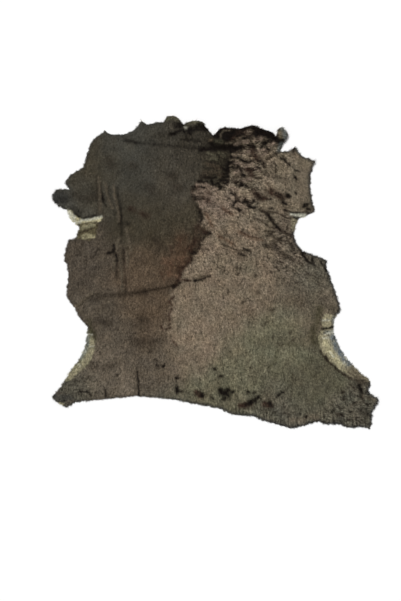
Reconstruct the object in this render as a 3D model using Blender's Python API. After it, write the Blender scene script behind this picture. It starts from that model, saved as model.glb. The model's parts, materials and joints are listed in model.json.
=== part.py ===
"""A hair-on hide: one tanned skin with its coat, lying flat on its flesh side.

The frame is metres, +Z up. X runs across the animal, Y from the rump (-Y) to the
neck (+Y), and the origin is under the middle of the hide, on the surface that it
lies on. The tables are in millimetres, from a point on the middle of the back.
"""

import math

import bmesh
import bpy
import numpy as np
from mathutils import geometry

MM = 0.001

LEATHER = 2.5  # tanned skin
COAT = 5.5  # hair lying down over it
RIM_COAT = 0.35  # share of the coat left at the cut edge
RIM_REACH = 15.0  # the coat is full this far in from the edge
HOLLOW_FROM = 4.0  # a fold that stands higher than this is hollow beneath
THINNEST = 3.0  # skin and flattened hair in the bottom of a crease

EDGE_STEP = 17.0  # spacing of the points along the cut edge
FOLD_STEP = 15.0  # and along a fold
CALM_STEP = 34.0  # and where the hide lies calm
FOLD_END = 45.0  # length over which a fold dies away

# The cut edge, clockwise from the left fore shank. Each row is a smooth stretch that
# starts at a corner and runs on to the corner that the next row starts with.
EDGE = (
    # stretch, points (x, y)
    ("left shank end", ((-725, 415),)),
    ("left shoulder", ((-748, 445), (-735, 470), (-700, 502), (-655, 525), (-648, 555), (-612, 658))),
    ("left neck point", ((-558, 698), (-552, 715))),
    ("left nape", ((-538, 700), (-515, 692), (-472, 690), (-442, 695), (-408, 710), (-378, 740))),
    ("poll", ((-368, 766), (-340, 742), (-290, 752))),
    ("first neck tab", ((-255, 752), (-245, 770), (-228, 782), (-195, 780), (-179, 770))),
    ("second neck tab", ((-155, 742), (-118, 758), (-88, 760), (-61, 752), (-45, 733))),
    ("neck roll", ((-8, 685), (22, 714), (54, 724), (124, 720), (182, 736), (212, 728), (282, 703))),
    ("third neck tab", ((306, 682), (311, 702), (326, 725), (342, 724), (368, 682), (348, 647))),
    ("right nape point", ((326, 607), (374, 608))),
    ("right nape", ((400, 630), (438, 584), (472, 568))),
    ("right shoulder", ((501, 555), (484, 503), (480, 470), (482, 410), (489, 355))),
    (
        "right armpit",
        ((502, 307), (455, 282), (420, 264), (398, 205), (401, 163), (446, 105), (519, 80)),
    ),
    ("right belly", ((561, 58), (564, 20), (582, -32), (624, -155))),
    (
        "right flank",
        ((632, -190), (602, -225), (596, -288), (612, -348), (662, -430), (712, -488), (779, -548)),
    ),
    ("right hock", ((771, -582), (771, -602), (816, -632), (819, -645), (788, -708), (786, -752))),
    (
        "right rump",
        ((776, -782), (732, -777), (672, -779), (618, -762), (562, -762), (512, -749), (461, -766)),
    ),
    ("rump", ((386, -782), (213, -734), (195, -721), (140, -718), (72, -705), (28, -684), (-90, -661))),
    ("left rump", ((-208, -637), (-354, -624), (-422, -624), (-650, -645), (-708, -659), (-742, -675))),
    ("left hock", ((-782, -656), (-808, -628))),
    ("left flank", ((-802, -610), (-756, -553), (-719, -490), (-673, -427), (-644, -360))),
    (
        "left belly",
        ((-632, -278), (-680, -217), (-698, -178), (-738, -117), (-732, -43), (-736, 20), (-752, 85)),
    ),
    ("left armpit", ((-728, 163), (-694, 172), (-678, 223), (-682, 235), (-715, 256))),
    ("left fore shank", ((-740, 311), (-786, 335), (-812, 370), (-802, 400), (-789, 414), (-764, 417))),
)

# Folds and creases. A fold stands up and a crease sinks in. Each falls away to
# nothing at its feet, which differ where it leans over.
FOLDS = (
    # fold, height, left foot, right foot, line (x, y)
    (
        "neck roll",
        15.0,
        42,
        40,
        ((-330, 700), (-200, 706), (-70, 690), (30, 660), (150, 676), (285, 660)),
    ),
    (
        "crease under the neck roll",
        -4.0,
        13,
        14,
        ((-472, 682), (-385, 652), (-182, 634), (0, 613), (132, 625)),
    ),
    (
        "left shank lying over the armpit",
        11.0,
        62,
        10,
        ((-745, 322), (-672, 279), (-618, 280), (-560, 290)),
    ),
    ("second ply of the armpit", 5.0, 22, 9, ((-674, 200), (-636, 206), (-590, 240))),
    ("left elbow crease", -3.0, 9, 12, ((-588, 470), (-575, 415), (-572, 340))),
    ("left rib crease", -3.5, 14, 10, ((-530, 415), (-470, 325), (-465, 250), (-465, 165))),
    ("left rib fold", 8.0, 18, 17, ((-468, 180), (-474, 120), (-474, -40), (-462, -130))),
    ("left flank crease", -2.5, 9, 9, ((-498, 112), (-548, 90), (-600, 52))),
    (
        "belly fold",
        9.0,
        44,
        11,
        (
            (-700, -172), (-612, -105), (-548, -110), (-422, -98),
            (-322, -82), (-242, -66), (-118, -30), (-20, -8),
        ),
    ),
    (
        "left flank lip",
        4.0,
        10,
        50,
        ((-622, -300), (-598, -345), (-600, -400), (-630, -450), (-690, -506), (-745, -537)),
    ),
    (
        "right flank lip",
        4.0,
        55,
        10,
        ((528, -215), (526, -270), (512, -315), (525, -357), (595, -448), (689, -520)),
    ),
    ("right elbow crease", -3.0, 10, 10, ((372, 284), (412, 276), (452, 270))),
    ("right shoulder crease", -3.0, 12, 14, ((232, 312), (300, 272), (348, 214), (402, 178))),
    ("right rib crease", -2.5, 12, 12, ((40, 138), (95, 108), (180, 98))),
    (
        "parting of the coat",
        -2.0,
        12,
        16,
        ((112, 612), (84, 545), (62, 450), (-60, 440), (-112, 390), (-60, 300)),
    ),
    (
        "lower parting",
        -2.0,
        12,
        16,
        ((-70, 285), (-56, 200), (-105, 90), (-176, -25), (-215, -110), (-228, -230)),
    ),
    ("slit by the tail", -4.0, 7, 7, ((-386, -498), (-382, -545), (-378, -612))),
)

# Stretches of the edge that stand off the surface beneath.
LIFTS = (
    # edge, x, y, reach, rise
    ("first neck tab", -210, 790, 85, 13.0),
    ("second neck tab", -98, 770, 85, 10.0),
    ("neck roll, left end", 50, 735, 100, 12.0),
    ("neck roll, right end", 205, 745, 105, 11.0),
    ("third neck tab", 345, 712, 95, 14.0),
    ("left nape point", -368, 775, 70, 9.0),
    ("right nape point", 402, 640, 70, 8.0),
    ("right shoulder point", 510, 562, 90, 8.0),
    ("left fore shank", -815, 375, 95, 9.0),
    ("left hock", -800, -660, 95, 6.0),
    ("right hock", 822, -655, 110, 7.0),
    ("right belly point", 642, -185, 80, 5.0),
)

# Where the coat is deeper or shorter than COAT.
COATS = (
    # stretch, x, y, half width, half length, change in depth
    ("neck curls", 150, 690, 200, 75, 5.0),
    ("shoulder curls", 310, 500, 210, 180, 3.0),
    ("smooth left side", -420, 250, 330, 420, -1.0),
    ("rump fringe", 340, -745, 280, 60, 2.5),
    ("left flank", -672, -430, 60, 130, -2.0),
    ("right flank", 612, -390, 75, 170, -2.0),
    ("left armpit", -645, 215, 70, 45, -2.0),
    ("right armpit", 432, 232, 55, 65, -2.0),
)

# Slow lumps all over, left from drying on the frame.
LUMPS = (
    # height, wavelength, heading in degrees, phase in degrees
    (0.9, 310, 24, 40),
    (0.8, 235, 101, 200),
    (0.6, 170, 152, 310),
    (0.5, 128, 63, 95),
)


def smooth_line(corners, step):
    """Points about a step apart on the smooth line through these corners."""
    ends = np.array(corners, float)
    ends = np.vstack([2 * ends[0] - ends[1], ends, 2 * ends[-1] - ends[-2]])
    line = []
    for before, start, end, after in zip(ends, ends[1:], ends[2:], ends[3:]):
        count = max(1, round(np.linalg.norm(end - start) / step))
        for t in np.arange(count) / count:
            bend = (2 * before - 5 * start + 4 * end - after) * t**2
            bend += (3 * start - before - 3 * end + after) * t**3
            line.append(start + ((end - before) * t + bend) / 2)
    line.append(ends[-2])
    return np.array(line)


def cut_edge():
    """The whole outline, as a closed ring of points."""
    ring = []
    for (_, points), (_, following) in zip(EDGE, EDGE[1:] + EDGE[:1]):
        ring.extend(smooth_line(points + following[:1], EDGE_STEP)[:-1])
    return np.array(ring)


def nearest_on(line, points, closed=False):
    """For each point, its distance to the line, signed to the left, and the run along the line there."""
    starts = line if closed else line[:-1]
    spans = (np.roll(line, -1, axis=0) if closed else line[1:]) - starts
    lengths = np.linalg.norm(spans, axis=1)
    runs = np.concatenate([[0.0], np.cumsum(lengths)])
    distance = np.full(len(points), np.inf)
    run = np.zeros(len(points))
    side = np.ones(len(points))
    for start, span, length, passed in zip(starts, spans, lengths, runs):
        offset = points - start
        along = np.clip(offset @ span / length**2, 0, 1)
        away = np.linalg.norm(offset - along[:, None] * span, axis=1)
        nearer = away < distance
        distance[nearer] = away[nearer]
        run[nearer] = passed + along[nearer] * length
        side[nearer] = np.where(span[0] * offset[nearer, 1] - span[1] * offset[nearer, 0] < 0, -1, 1)
    return distance * side, run, runs[-1]


def hump(share):
    """1 at 0, falling smoothly to nothing at 1 and beyond."""
    return (1 - np.clip(np.abs(share), 0, 1) ** 2) ** 2


def fold_heights(points):
    """What the folds and the creases add at each point."""
    raised = np.zeros(len(points))
    sunk = np.zeros(len(points))
    for _, height, left_foot, right_foot, corners in FOLDS:
        away, run, whole = nearest_on(smooth_line(corners, FOLD_STEP), points)
        ends = np.clip(np.minimum(run, whole - run) / FOLD_END, 0, 1)
        shape = height * hump(away / np.where(away > 0, left_foot, right_foot)) * np.sin(ends * math.pi / 2)
        raised = np.maximum(raised, shape)
        sunk = np.minimum(sunk, shape)
    return raised, sunk


def lift_heights(points):
    """How far the edge stands off the surface at each point."""
    lifted = np.zeros(len(points))
    for _, x, y, reach, rise in LIFTS:
        lifted = np.maximum(lifted, rise * hump(np.hypot(points[:, 0] - x, points[:, 1] - y) / reach))
    return lifted


def coat_depth(points, edge):
    """Depth of the lying hair: it thins at the cut edge and varies over the animal."""
    depth = np.full(len(points), COAT)
    for _, x, y, half_width, half_length, change in COATS:
        depth += change * hump(np.hypot((points[:, 0] - x) / half_width, (points[:, 1] - y) / half_length))
    inset = np.clip(np.abs(nearest_on(edge, points, closed=True)[0]) / RIM_REACH, 0, 1)
    return depth * (RIM_COAT + (1 - RIM_COAT) * np.sin(inset * math.pi / 2))


def lump_heights(points):
    """The slow lumps, from nothing up."""
    height = np.zeros(len(points))
    for size, wavelength, heading, phase in LUMPS:
        turn = math.radians(heading)
        across = points @ np.array([math.cos(turn), math.sin(turn)])
        height += size * np.sin(2 * math.pi * across / wavelength + math.radians(phase))
    return height


def both_faces(points, edge):
    """Heights of the flesh side and of the top of the coat at each point."""
    raised, sunk = fold_heights(points)
    lifted = lift_heights(points)
    flesh = lifted + np.maximum(raised - HOLLOW_FROM, 0)
    top = lifted + raised + sunk + LEATHER + coat_depth(points, edge) + lump_heights(points)
    return flesh, np.maximum(top, flesh + THINNEST)


def inside(points, edge):
    """Which points lie within the ring."""
    held = np.zeros(len(points), bool)
    for (x0, y0), (x1, y1) in zip(edge, np.roll(edge, -1, axis=0)):
        if y0 == y1:
            continue
        crosses = (points[:, 1] < y0) != (points[:, 1] < y1)
        held ^= crosses & (points[:, 0] < x0 + (points[:, 1] - y0) * (x1 - x0) / (y1 - y0))
    return held


def beside(line, offset):
    """The line moved to its left by an offset."""
    along = np.gradient(line, axis=0)
    left = np.stack([-along[:, 1], along[:, 0]], axis=1)
    return line + offset * left / np.linalg.norm(left, axis=1)[:, None]


def mesh_points(edge):
    """Points for the faces: a row where the coat is full, rows along each fold, and a lattice between."""
    half = 0.5
    apart = 0.4
    groups = [(beside(np.vstack([edge, edge[:1]]), -RIM_REACH), half * EDGE_STEP)]
    for _, _, left_foot, right_foot, corners in FOLDS:
        line = smooth_line(corners, FOLD_STEP)
        for offset in (0, left_foot * half, -right_foot * half, left_foot, -right_foot):
            groups.append((beside(line, offset), apart * min(FOLD_STEP, left_foot, right_foot)))
    low, high = edge.min(axis=0), edge.max(axis=0)
    row_gap = CALM_STEP * math.sqrt(3) / 2
    rows = []
    for row, y in enumerate(np.arange(low[1], high[1], row_gap)):
        xs = np.arange(low[0] + CALM_STEP * half * (row % 2), high[0], CALM_STEP)
        rows.append(np.stack([xs, np.full(len(xs), y)], axis=1))
    groups.append((np.vstack(rows), half * CALM_STEP))
    kept = edge.copy()
    for points, gap in groups:
        within = inside(points, edge)
        for point in points[within]:
            if np.linalg.norm(kept - point, axis=1).min() > gap:
                kept = np.vstack([kept, point])
    return kept


def add_hide(name):
    """The hide as one closed solid: its top is a relief, and its flesh side is copied down from it."""
    edge = cut_edge()
    points = mesh_points(edge)
    ring = list(range(len(edge)))
    inside_ring = 1
    flat, _, triangles, *_ = geometry.delaunay_2d_cdt(
        [tuple(point) for point in points], [], [ring], inside_ring, 1e-6
    )
    flat = np.array(flat)
    flesh, top = both_faces(flat, edge)
    middle = (edge.min(axis=0) + edge.max(axis=0)) / 2

    mesh = bpy.data.meshes.new(name)
    bm = bmesh.new()
    corners = [bm.verts.new((*(point - middle) * MM, height * MM)) for point, height in zip(flat, top)]
    for triangle in triangles:
        bm.faces.new([corners[corner] for corner in triangle])
    lowered = bmesh.ops.extrude_face_region(bm, geom=bm.faces[:], use_keep_orig=True)
    flesh_at = {tuple(corner.co): height * MM for corner, height in zip(corners, flesh)}
    for item in lowered["geom"]:
        if isinstance(item, bmesh.types.BMVert):
            item.co.z = flesh_at[tuple(item.co)]
    bmesh.ops.recalc_face_normals(bm, faces=bm.faces[:])
    bm.to_mesh(mesh)
    bm.free()
    return bpy.data.objects.new(name, mesh)


def coat_material():
    """Mouse-brown hair, matt."""
    material = bpy.data.materials.new("mouse_brown_hair")
    material.use_nodes = True
    shader = material.node_tree.nodes["Principled BSDF"]
    shader.inputs["Base Color"].default_value = (0.085, 0.066, 0.047, 1.0)
    shader.inputs["Roughness"].default_value = 0.82
    shader.inputs["Metallic"].default_value = 0.0
    return material


for old in list(bpy.data.objects):
    bpy.data.objects.remove(old, do_unlink=True)
collection = bpy.data.collections.new("hide")
bpy.context.scene.collection.children.link(collection)
hide = add_hide("hide")
hide.data.materials.append(coat_material())
collection.objects.link(hide)
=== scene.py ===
import json
import math

import bmesh
import bpy
import numpy as np
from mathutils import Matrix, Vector, geometry, kdtree
from mathutils.bvhtree import BVHTree

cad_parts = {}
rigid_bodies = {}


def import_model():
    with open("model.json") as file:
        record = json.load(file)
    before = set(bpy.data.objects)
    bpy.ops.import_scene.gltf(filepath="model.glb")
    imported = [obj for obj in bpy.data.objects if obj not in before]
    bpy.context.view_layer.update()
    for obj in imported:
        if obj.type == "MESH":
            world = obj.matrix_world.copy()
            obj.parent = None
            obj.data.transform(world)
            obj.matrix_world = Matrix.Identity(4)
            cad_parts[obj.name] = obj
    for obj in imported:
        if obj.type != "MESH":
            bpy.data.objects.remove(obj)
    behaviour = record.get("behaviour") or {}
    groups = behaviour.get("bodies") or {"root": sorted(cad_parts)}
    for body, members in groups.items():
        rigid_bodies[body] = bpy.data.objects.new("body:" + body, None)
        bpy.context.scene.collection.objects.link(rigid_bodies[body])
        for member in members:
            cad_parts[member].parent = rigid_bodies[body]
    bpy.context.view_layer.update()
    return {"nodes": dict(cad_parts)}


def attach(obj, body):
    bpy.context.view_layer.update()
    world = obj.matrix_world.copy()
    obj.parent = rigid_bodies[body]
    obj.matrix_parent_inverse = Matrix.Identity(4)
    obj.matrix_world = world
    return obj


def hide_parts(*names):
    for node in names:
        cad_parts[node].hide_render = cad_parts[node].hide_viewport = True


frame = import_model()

# ---------------------------------------------------------------------------------------
# The skin. One tanned skin, 2 mm thick, trimmed by hand along one ragged cut edge, which
# stands back a little behind the tips of its hair. It lies on its flesh side, which is
# buffed to a pale nap, and its folds lift it off the floor where the solid says.
# ---------------------------------------------------------------------------------------
MM = 0.001
SKIN_THICK = 2.1 * MM
SKIN_BACK = 4.0 * MM  # from the solid's edge, which is the hair tips' edge
SKIN_UNDER_HAIR = 1.5 * MM  # how far the skin's cut edge is under the first hair
SKIN_STEP = 13 * MM  # of its mesh
CUT_STEP = 5 * MM  # along the edge
RAGGED = 2.6 * MM  # how far the cut wanders in and out
WANDERS = ((38 * MM, 3), (13 * MM, 4))  # how far apart the cut's bumps are, and their seeds
LEAN = 0.3  # of the map, so that an upright face has some width on it
MAP_MARGIN = 0.01
UPRIGHT = 0.05  # how much a wall's normal may rise
DRIFT_GAIN = 1.6  # which brings its highest places to about 1
DICE = 4096
SCATTER = (73856093, 19349663)  # large and odd, so that neighbouring knots take unlike dice


def drift(points, wavelength, seed):
    """Smooth unevenness between about -1 and 1, with its bumps a wavelength apart."""
    dice = np.random.default_rng(seed).uniform(0, 2 * math.pi, DICE)
    cell = points / wavelength
    corner = np.floor(cell).astype(np.int64)
    part = cell - corner
    fade = part**3 * (part * (part * 6 - 15) + 10)
    total = np.zeros(len(points))
    for right in (0, 1):
        for up in (0, 1):
            knot = (corner[:, 0] + right) * SCATTER[0] ^ (corner[:, 1] + up) * SCATTER[1]
            heading = dice[knot % DICE]
            slope = np.cos(heading) * (part[:, 0] - right) + np.sin(heading) * (part[:, 1] - up)
            share = (fade[:, 0] if right else 1 - fade[:, 0]) * (fade[:, 1] if up else 1 - fade[:, 1])
            total += slope * share
    return total * DRIFT_GAIN


def floor_ring(bm):
    """Plan points round the lower rim of a flat solid, anticlockwise."""
    following = {}
    for edge in bm.edges:
        walls = [face for face in edge.link_faces if abs(face.normal.z) < UPRIGHT]
        under = [face for face in edge.link_faces if face.normal.z < -UPRIGHT]
        if len(walls) == 1 and len(under) == 1:
            for here, there in (edge.verts, reversed(edge.verts)):
                following.setdefault(here, []).append(there)
    first = next(iter(following))
    ring = [first, following[first][0]]
    while ring[-1] is not first:
        ring.append(next(vert for vert in following[ring[-1]] if vert is not ring[-2]))
    plan = np.array([vert.co[:2] for vert in ring[:-1]])
    after = np.roll(plan, -1, axis=0)
    turned = (plan[:, 0] * after[:, 1] - plan[:, 1] * after[:, 0]).sum()
    return plan if turned > 0 else plan[::-1]


def finer(ring, step):
    """The ring with smooth points about a step apart."""
    line = []
    ends = zip(np.roll(ring, 1, axis=0), ring, np.roll(ring, -1, axis=0), np.roll(ring, -2, axis=0))
    for before, start, end, after in ends:
        count = max(1, round(np.linalg.norm(end - start) / step))
        for t in np.arange(count) / count:
            bend = (2 * before - 5 * start + 4 * end - after) * t**2
            bend += (3 * start - before - 3 * end + after) * t**3
            line.append(start + ((end - before) * t + bend) / 2)
    return np.array(line)


def outwards(ring):
    """The way out of an anticlockwise ring at each of its points."""
    along = np.roll(ring, -1, axis=0) - np.roll(ring, 1, axis=0)
    away = np.stack([along[:, 1], -along[:, 0]], axis=1)
    return away / np.linalg.norm(away, axis=1)[:, None]


def tree_of(plan):
    """A tree that finds the nearest of these plan points."""
    tree = kdtree.KDTree(len(plan))
    for index, (x, y) in enumerate(plan):
        tree.insert((x, y, 0), index)
    tree.balance()
    return tree


def nearest(plan, points):
    """The index of the nearest plan point to each point, and how far it is."""
    tree = tree_of(plan)
    found = [tree.find((x, y, 0))[1:] for x, y in points]
    return np.array([index for index, _ in found]), np.array([distance for _, distance in found])


def drawn_in(ring, depth):
    """The ring moved inwards, less where a point or a tab is too narrow for it."""
    moved = ring.copy()
    waiting = np.ones(len(ring), bool)
    way = outwards(ring)
    for share in (1, 0.6, 0.3):
        tried = ring[waiting] - way[waiting] * depth * share
        clear = nearest(ring, tried)[1] > 0.8 * depth * share
        places = np.flatnonzero(waiting)[clear]
        moved[places] = tried[clear]
        waiting[places] = False
    return moved


def lattice(ring, step):
    """Points in rows all over the ring's box, with none close to the ring."""
    low, high = ring.min(axis=0), ring.max(axis=0)
    rows = []
    for row, y in enumerate(np.arange(low[1], high[1], step * math.sqrt(3) / 2)):
        xs = np.arange(low[0] + step / 2 * (row % 2), high[0], step)
        rows.append(np.stack([xs, np.full(len(xs), y)], axis=1))
    points = np.vstack(rows)
    return points[nearest(ring, points)[1] > 0.6 * step]


def filled(ring, step):
    """Plan points and triangles that fill the ring, the ring's own points first."""
    points = np.vstack([ring, lattice(ring, step)])
    corners = [tuple(point) for point in points]
    around = [list(range(len(ring)))]
    inside_ring = 1
    flat, _, faces, *_ = geometry.delaunay_2d_cdt(corners, [], around, inside_ring, 1e-7)
    used = np.unique(np.array(faces))
    place = np.full(len(flat), -1)
    place[used] = np.arange(len(used))
    return np.array(flat)[used], place[np.array(faces)]


def heights(plan, solid_tree):
    """Heights of a solid's underside and top at plan points. Points past its edge take the nearest."""
    above, below = 1.0, -1.0
    under = np.full(len(plan), np.nan)
    top = np.full(len(plan), np.nan)
    for index, (x, y) in enumerate(plan):
        hit = solid_tree.ray_cast(Vector((x, y, above)), Vector((0, 0, -1)))[0]
        if hit is not None:
            top[index] = hit.z
            under[index] = solid_tree.ray_cast(Vector((x, y, below)), Vector((0, 0, 1)))[0].z
    missed = np.isnan(top)
    if missed.any():
        place = nearest(plan[~missed], plan[missed])[0]
        under[missed] = under[~missed][place]
        top[missed] = top[~missed][place]
    return under, top


def evened(values, triangles, rounds):
    """Values at a mesh's points, each drawn towards its neighbours' mean."""
    ends = np.concatenate([triangles[:, [0, 1]], triangles[:, [1, 2]], triangles[:, [2, 0]]])
    ends = np.concatenate([ends, ends[:, ::-1]])
    met = np.bincount(ends[:, 0], minlength=len(values))
    for _ in range(rounds):
        around = np.bincount(ends[:, 0], weights=values[ends[:, 1]], minlength=len(values))
        values = (values + around / met) / 2
    return values


def to_paint(red, green, blue):
    """A colour as it looks, 0 to 255, as the shader's linear values."""
    share = np.array([red, green, blue]) / 255
    return np.where(share <= 0.04045, share / 12.92, ((share + 0.055) / 1.055) ** 2.4)


class Wire:
    """An output in a tree of nodes, on which Python's sums and products add Math nodes."""

    def __init__(self, tree, socket=None):
        self.tree = tree
        self.socket = socket

    def node(self, kind, settings=(), values=(), output=0):
        """A new node's output: its settings are set first, then its sockets' values or links."""
        made = self.tree.nodes.new(kind)
        for name, value in dict(settings).items():
            setattr(made, name, value)
        for name, value in dict(values).items():
            if isinstance(value, Wire):
                self.tree.links.new(value.socket, made.inputs[name])
            else:
                made.inputs[name].default_value = value
        return Wire(self.tree, made.outputs[output])

    def maths(self, operation, first, second=0):
        """A Math node's output, from one or two values."""
        return self.node("ShaderNodeMath", {"operation": operation}, {0: first, 1: second})

    def __add__(self, other):
        return self.maths("ADD", self, other)

    __radd__ = __add__

    def __sub__(self, other):
        return self.maths("SUBTRACT", self, other)

    def __rsub__(self, other):
        return self.maths("SUBTRACT", other, self)

    def __mul__(self, other):
        return self.maths("MULTIPLY", self, other)

    __rmul__ = __mul__

    def scaled(self, colour, share):
        """A colour made lighter or darker, or a vector made longer or shorter."""
        return self.node("ShaderNodeVectorMath", {"operation": "SCALE"}, {0: colour, "Scale": share})

    def mixed(self, share, first, second):
        """One colour fading into another."""
        values = {0: share, 6: first, 7: second}
        return self.node("ShaderNodeMix", {"data_type": "RGBA"}, values, 2)

    def spread(self, low, high):
        """The value stretched so that low becomes 0 and high becomes 1."""
        values = {"Value": self, "From Min": low, "From Max": high}
        return self.node("ShaderNodeMapRange", {"clamp": True}, values)

    def feeds(self, shader, name):
        """Leads this value to one of a shader's sockets."""
        self.tree.links.new(self.socket, shader.inputs[name])


def new_material(name, roughness, sheen, specular):
    """A material, a wire to build on, and its shader. What is the same all over is set here."""
    material = bpy.data.materials.new(name)
    material.use_nodes = True
    shader = material.node_tree.nodes["Principled BSDF"]
    shader.inputs["Roughness"].default_value = roughness
    shader.inputs["Sheen Weight"].default_value = sheen
    shader.inputs["Sheen Roughness"].default_value = 0.45
    shader.inputs["Specular IOR Level"].default_value = specular
    return material, Wire(material.node_tree), shader


def flesh_side_material():
    """Buffed flesh side: cream, mottled by the drum, with a fine matt nap."""
    material, wire, shader = new_material("flesh_side", 0.92, 0.25, 0.2)
    place = wire.node("ShaderNodeTexCoord", output="Object")
    mottle = wire.node("ShaderNodeTexNoise", {}, {"Vector": place, "Scale": 9.0, "Detail": 5.0})
    nap = wire.node("ShaderNodeTexNoise", {}, {"Vector": place, "Scale": 420.0, "Detail": 3.0})
    cream = (*to_paint(206, 190, 160), 1)
    tan = (*to_paint(172, 149, 117), 1)
    colour = wire.mixed(mottle.spread(0.35, 0.7), cream, tan)
    colour = wire.scaled(colour, 0.88 + nap * 0.24)
    bump = wire.node("ShaderNodeBump", {}, {"Height": nap, "Strength": 0.5, "Distance": 0.4 * MM})
    colour.feeds(shader, "Base Color")
    bump.feeds(shader, "Normal")
    return material


def mesh_object(name, points, faces, materials):
    """A new smooth-shaded object in the scene from points and triangles."""
    mesh = bpy.data.meshes.new(name)
    mesh.from_pydata(points.tolist(), [], faces.tolist())
    mesh.shade_smooth()
    for material in materials:
        mesh.materials.append(material)
    made = bpy.data.objects.new(name, mesh)
    bpy.context.scene.collection.objects.link(made)
    return made


def lay_out_flat(piece, both_sides=False):
    """The piece's map, as seen from above, with what faces down beside that where both sides show."""
    mesh = piece.data
    points = np.empty(3 * len(mesh.vertices))
    mesh.vertices.foreach_get("co", points)
    points = points.reshape(-1, 3)
    corners = np.empty(len(mesh.loops), np.int32)
    mesh.loops.foreach_get("vertex_index", corners)
    flat = points[:, :2] + LEAN * points[:, 2:]
    low, high = flat.min(axis=0), flat.max(axis=0)
    places = (MAP_MARGIN + (1 - 2 * MAP_MARGIN) * (flat - low) / (high - low))[corners]
    if both_sides:
        plan_round = points[corners, :2].reshape(-1, 3, 2)
        turned = np.cross(plan_round[:, 1] - plan_round[:, 0], plan_round[:, 2] - plan_round[:, 0])
        beside = np.repeat(turned < 0, 3)
        places[:, 0] = (places[:, 0] + beside) / 2
    mesh.uv_layers.new(name="OFBake").data.foreach_set("uv", places.ravel())


solid = bmesh.new()
solid.from_mesh(frame["nodes"]["hide"].data)
bmesh.ops.remove_doubles(solid, verts=solid.verts, dist=1e-6)
solid.normal_update()
solid_tree = BVHTree.FromBMesh(solid)
solid_edge = finer(floor_ring(solid), CUT_STEP)
solid.free()

hair_edge = drawn_in(solid_edge, SKIN_BACK)
wander = RAGGED * sum(0.6 * drift(hair_edge, apart, seed) for apart, seed in WANDERS)
hair_edge = hair_edge + outwards(hair_edge) * wander[:, None]

plan, triangles = filled(drawn_in(hair_edge, SKIN_UNDER_HAIR), SKIN_STEP)
flesh = evened(heights(plan, solid_tree)[0], triangles, 2)
count = len(plan)
top_points = np.column_stack([plan, flesh + SKIN_THICK])
low_points = np.column_stack([plan, flesh])
rim = np.arange(len(hair_edge))
rim_next = np.roll(rim, -1)
lower_walls = np.column_stack([rim + count, rim_next + count, rim_next])
upper_walls = np.column_stack([rim + count, rim_next, rim])

skin = mesh_object(
    "skin",
    np.vstack([top_points, low_points]),
    np.vstack([triangles, triangles[:, ::-1] + count, lower_walls, upper_walls]),
    [flesh_side_material()],
)
skin_tree = BVHTree.FromPolygons(top_points.tolist(), triangles.tolist())
lay_out_flat(skin, both_sides=True)
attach(skin, "root")
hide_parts("hide")

# ---------------------------------------------------------------------------------------
# The undercoat. Short dense hair that grows out of the skin and stays on through the
# tanning: dark mouse brown on the left of the back, lighter and curlier on the right,
# nearly black on the neck, and pale where it was the armpits and the flanks. The left is
# also painted darker, as the shade of hair that lies away from the light.
# ---------------------------------------------------------------------------------------
COAT_STEP = 4.8 * MM  # of its mesh
COAT_RIM = 9.0 * MM  # from the cut edge to where the coat has its full depth
UNDERCOAT_SHARE = 0.5  # of the coat's depth
RIM_SHARE = 0.12  # of it, at the cut edge
COAT_LEAST = 0.9 * MM
COAT_OVER = 0.5 * MM  # how far its tufts may pass the solid's top
RIM_SINKS = 0.3 * MM  # below the skin's top, all along the cut
HAIR_LENGTH = 13 * MM
CURL_LENGTH = 17 * MM
PALE_LENGTH = 9 * MM
RIM_LENGTH = 12 * MM
MIDDLE = np.array([3.5, 0.2])  # mm, the middle of the solid's box from the middle of the back

# The coat's unevenness along its hair: how far apart its bumps are, how far each of them is
# drawn out, and a seed for where they fall.
FINE_STRANDS = (7 * MM, 5 * MM, 41)
FRIZZY_LOCKS = (12 * MM, 16 * MM, 47)
TUFTS = (21 * MM, 20 * MM, 43)
PARTINGS = (17 * MM, 26 * MM, 45)
DASHES = (9 * MM, 15 * MM, 57)
FRINGE_LOCKS = (9 * MM, 24 * MM, 59)
PALE_STREAKS = (8 * MM, 18 * MM, 77)

TONES = {  # as the hair looks in plain light, red, green and blue
    "soot": (20, 15, 12),
    "umber": (44, 36, 28),
    "slate": (56, 57, 58),
    "mouse": (65, 59, 47),
    "grey mouse": (64, 62, 55),
    "warm mouse": (77, 69, 59),
    "dark dun": (67, 62, 53),
    "dun": (92, 83, 71),
    "taupe": (104, 94, 79),
    "pale taupe": (120, 107, 90),
    "mossy taupe": (98, 94, 76),
    "grey taupe": (92, 88, 76),
    "chestnut": (84, 71, 57),
    "fox": (94, 66, 48),
    "brown": (62, 46, 37),
    "moss": (62, 59, 40),
    "bloom": (92, 93, 76),
    "russet": (112, 90, 72),
    "rosy": (140, 123, 107),
    "olive": (104, 96, 70),
    "tan": (130, 114, 92),
    "lichen": (140, 136, 110),
    "straw": (160, 152, 124),
    "cream": (198, 190, 152),
    "white": (212, 210, 192),
    "ash": (122, 128, 124),
    "sea slate": (104, 112, 116),
}
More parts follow.
